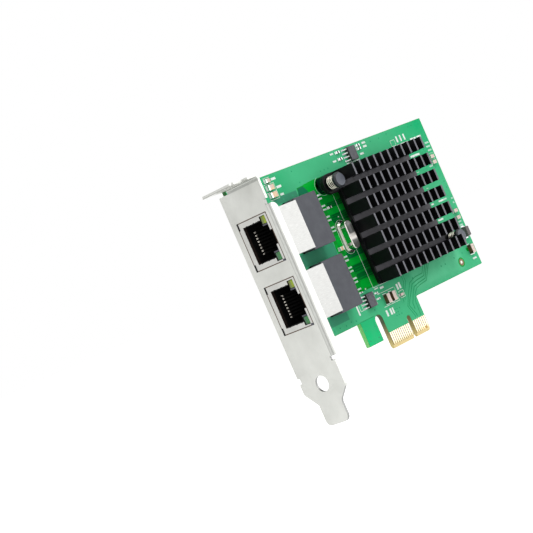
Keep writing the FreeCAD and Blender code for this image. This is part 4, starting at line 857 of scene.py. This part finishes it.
def printBoard():
    low, high = layers["print"]
    m = boardMarks
    bm = bmesh.new()
    for points in m["lines"]:
        addStrip(bm, points, m["line"], low, high)
    for box in m["boxes"]:
        addBox(bm, *box, m["boxLine"], low, high)
    for bar in m["bars"]:
        addBar(bm, *bar, low, high)
    for dot in m["dots"]:
        addDisc(bm, *dot, low, high, steps=14)
    addLoop(bm, ringOfCrystal(), m["line"], low, high)
    makePiece("board_print", bm, "boardPrint")


fillWindow()
layChassisAndShade()
layTracks()
drillVias()
printBoard()
print("copper areas, tracks, small holes and print laid")

# The far side of the board, a guess: generic tracks, small holes and plain print. Rows are the tracks
# behind each jack, controller is the middle of its field of holes, and small holes near noHoles are left out
farSide = {
    "trackWidth": 0.26, "thinTrack": 0.24, "print": 0.15, "dot": 0.13, "ring": 0.34, "fieldRing": 0.36,
    "rows": {"count": 8, "step": 1.5, "nearStep": 0.9}, "controller": (67.35, 41.15), "field": 7, "fieldStep": 2.1,
    "fieldTracks": 6, "fingers": [58.9 + i for i in range(7)] + [45.9 + i for i in range(11)],
    "noHoles": 52, "jackBox": (9.2, 16.4, 7.9), "moduleBox": (21.4, 35.2, 9.2), "controllerHalf": 8.6,
    "pinRing": (3.7, 3.9),
    "bars": [(96, 103, 60, 60.6), (96, 101, 58.6, 59.2), (96, 104, 57.2, 57.8), (52, 60, 62, 62.7),
             (52, 57, 60.4, 61.1), (76, 84, 17, 17.7), (76, 81, 15.4, 16.1)]}


def farLayer(name):
    low, high = layers[name]
    return -place["thick"] - high, -place["thick"] - low


def layFarSide():
    f = farSide
    low, high = farLayer("trace")
    tracks, rings, dots = bmesh.new(), bmesh.new(), bmesh.new()

    def ringAt(x, z, reach=f["ring"]):
        addRing(rings, x, z, f["dot"], reach, high - 0.008, high + 0.001)

    def dotAt(x, z):
        addDisc(dots, x, z, f["dot"], low + 0.004, high - 0.001)

    def trackAlong(points, width=f["thinTrack"]):
        addStrip(tracks, points, width, low, high)

    count = f["rows"]["count"]
    for middle in place["jackMiddles"]:
        for i in range(count):
            step = i - (count - 1) / 2
            z, near = middle + step * f["rows"]["step"], middle + step * f["rows"]["nearStep"]
            end = 34.4 + 0.5 * i
            trackAlong([(17.6, near), (19.5, near), (20.5 + abs(z - near), z), (end, z)], f["trackWidth"])
            ringAt(end, z)
            ringAt(17.3, near)
    for i, x in enumerate(f["fingers"]):
        top = 9.0 + 0.55 * (i % 7)
        trackAlong([(x, 5.6), (x, top - 0.8), (x + 0.9, top + 0.1), (x + 0.9, top + 2.6)])
        ringAt(x + 0.9, top + 2.9)
    cx, cz = f["controller"]
    for i in range(f["field"]):
        for j in range(f["field"]):
            if (i + j) % 2 == 0 or 1 < i < 5 and 1 < j < 5:
                spot = cx + (i - 3) * f["fieldStep"], cz + (j - 3) * f["fieldStep"]
                ringAt(*spot, f["fieldRing"])
                dotAt(*spot)
    for i in range(f["fieldTracks"]):
        z = cz + (i - 3) * f["fieldStep"]
        trackAlong([(cx + 7.4, z), (cx + 10 + i, z), (cx + 12 + i, z + 2), (98.0, z + 2)])
        trackAlong([(cx - 7.4, z), (cx - 10 - i * 0.6, z), (cx - 11 - i * 0.6, z - 1), (47.5, z - 1)])
    for x, z in vias["places"]:
        if abs(x - f["noHoles"]) > 1:
            ringAt(x, z, vias["ring"])
            dotAt(x, z)
    makePiece("tracks_back", tracks, "traceFilm")
    makePiece("via_rings_back", rings, "ringFilm")
    makePiece("via_dots_back", dots, "darkFilm")


def printFarSide():
    f = farSide
    low, high = farLayer("print")
    marks = bmesh.new()
    boxes = [(x0, x1, middle, reach) for middle in place["jackMiddles"]
             for x0, x1, reach in (f["jackBox"], f["moduleBox"])]
    (cx, cz), half = f["controller"], f["controllerHalf"]
    for x0, x1, z, reach in boxes + [(cx - half, cx + half, cz, half)]:
        addBox(marks, x0, x1, z - reach, z + reach, f["print"], low, high)
    for x, z in place["pins"]:
        addRing(marks, x, z, *f["pinRing"], low, high, steps=36)
    for bar in f["bars"]:
        addBar(marks, *bar, low, high)
    makePiece("board_print_back", marks, "boardPrint")


layFarSide()
printFarSide()
print("far side laid")

# Painted shade: dark sheets in the gap between each jack and the bracket's opening, and dark marks at the shell's
# corners where that gap widens; then the small teeth along the window. Teeth are height ranges; front and back are
# places before the bracket
jackGaps = {"half": 8.1, "low": -0.1, "high": 13.55, "line": 0.3, "front": -0.014, "back": -0.004,
            "markLength": 2.4, "markWidth": 0.72, "sideMark": 1.2, "markFront": -0.022, "markBack": -0.016,
            "windowHalf": 6.0, "teeth": ((3.4, 4.0), (6.6, 7.2), (8.8, 9.3)), "toothDepth": 0.32}


def frameJacks():
    g = jackGaps
    bm, teeth = bmesh.new(), bmesh.new()
    line, long, wide = g["line"], g["markLength"], g["markWidth"]
    h0, h1 = g["low"], g["high"]
    for middle in place["jackMiddles"]:
        z0, z1 = middle - g["half"], middle + g["half"]
        for bar in ((z0, z1, h0, h0 + line), (z0, z1, h1 - line, h1),
                    (z0, z0 + line, h0 + line, h1 - line), (z1 - line, z1, h0 + line, h1 - line)):
            addBar(bm, g["front"], g["back"], *bar)
        for mark in ((z0, z0 + long, h0, h0 + wide), (z1 - long, z1, h0, h0 + wide),
                     (z0, z0 + wide, h1 - g["sideMark"], h1)):
            addBar(teeth, g["markFront"], g["markBack"], *mark)
        for tooth in g["teeth"]:
            for side in (-1, 1):
                near, far = middle + side * g["windowHalf"], middle + side * (g["windowHalf"] + g["toothDepth"])
                addBar(teeth, g["front"], g["back"], *sorted((near, far)), *tooth)
    makePiece("jack_gap_frames", bm, "gapShade")
    makePiece("jack_window_teeth", teeth, "jack_plastic")


# Solder in the plated hole near the lower right corner: radius and height of each row
holeFill = {"steps": 20, "rows": ((0.57, -0.3), (0.57, -0.02), (0.5, 0.012), (0.36, 0.03), (0.18, 0.04))}


def fillHole():
    bm = bmesh.new()
    addStack(bm, [(circleOf(*place["platedHole"], r, holeFill["steps"]), h) for r, h in holeFill["rows"]])
    makePiece("hole_solder", bm, "holeSolder")


frameJacks()
fillHole()
print("jack gaps and the plated hole closed")

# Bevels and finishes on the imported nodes: name start, finish, bevel in mm
nodeLooks = [
    ("circuit_board", "board", 0), ("edge_fingers", "finger_gold", 0), ("plated_hole", "plated_hole", 0),
    ("bracket_screws", "screw_steel", 0.05), ("bracket", "bracket_steel", 0.07),
    ("jack_shell", "jack_shell_steel", 0.05), ("jack_housing", "jack_plastic", 0.05),
    ("jack_contacts", "contact_gold_shade_and_glint", 0), ("jack_lamp_yellow", "lamp_yellow", 0.08),
    ("jack_lamp_green", "lamp_green", 0.08), ("jack_lamp_leads", "lead_metal", 0),
    ("transformer_case", "transformer_plastic", 0.08), ("transformer_carrier", "jack_plastic", 0),
    ("transformer_leads", "lead_metal", 0), ("transformer_cores", "ferrite", 0),
    ("heat_sink", "heat_sink_aluminium", 0.06), ("controller_package", "package_plastic", 0.05),
    ("controller_balls", "solder", 0), ("thermal_pad", "thermal_pad", 0),
    ("push_pin_springs", "spring_steel", 0), ("push_pins", "pin_plastic", 0.08),
    ("crystal_can", "crystal_metal", 0.12), ("crystal_flange", "crystal_metal", 0.05),
    ("crystal_pins", "lead_metal", 0), ("eight_lead_chip_leads", "lead_metal", 0.02),
    ("eight_lead_chip", "chip_plastic", 0.05), ("moulded_capacitor_tabs", "lead_metal", 0.02),
    ("moulded_capacitor", "capacitor_resin", 0.06), ("large_capacitors", "capacitor_ceramic", 0.03),
    ("small_capacitors", "capacitor_ceramic", 0.02), ("resistors", "resistor_body", 0.02),
    ("chip_end_caps", "cap_metal", 0.02), ("solder_pads", "solder", 0), ("solder_joints", "solder", 0),
]


def modify(node, name, kind, **settings):
    change = node.modifiers.new(name, kind)
    for key, value in settings.items():
        setattr(change, key, value)


def dressNodes():
    for name in sorted(nodes):
        _, finish, bevel = next(row for row in nodeLooks if name.startswith(row[0]))
        node = nodes[name]
        node.data.materials.clear()
        node.data.materials.append(mats[finish])
        if bevel:
            modify(node, "weld", "WELD", merge_threshold=0.002 * mm)
            modify(node, "flatten", "DECIMATE", decimate_type="DISSOLVE", angle_limit=math.radians(1))
            modify(node, "bevel", "BEVEL", width=bevel * mm, segments=2, limit_method="ANGLE",
                   angle_limit=math.radians(40), use_clamp_overlap=True)
            modify(node, "evenNormals", "WEIGHTED_NORMAL", keep_sharp=True)


dressNodes()
print("nodes dressed")
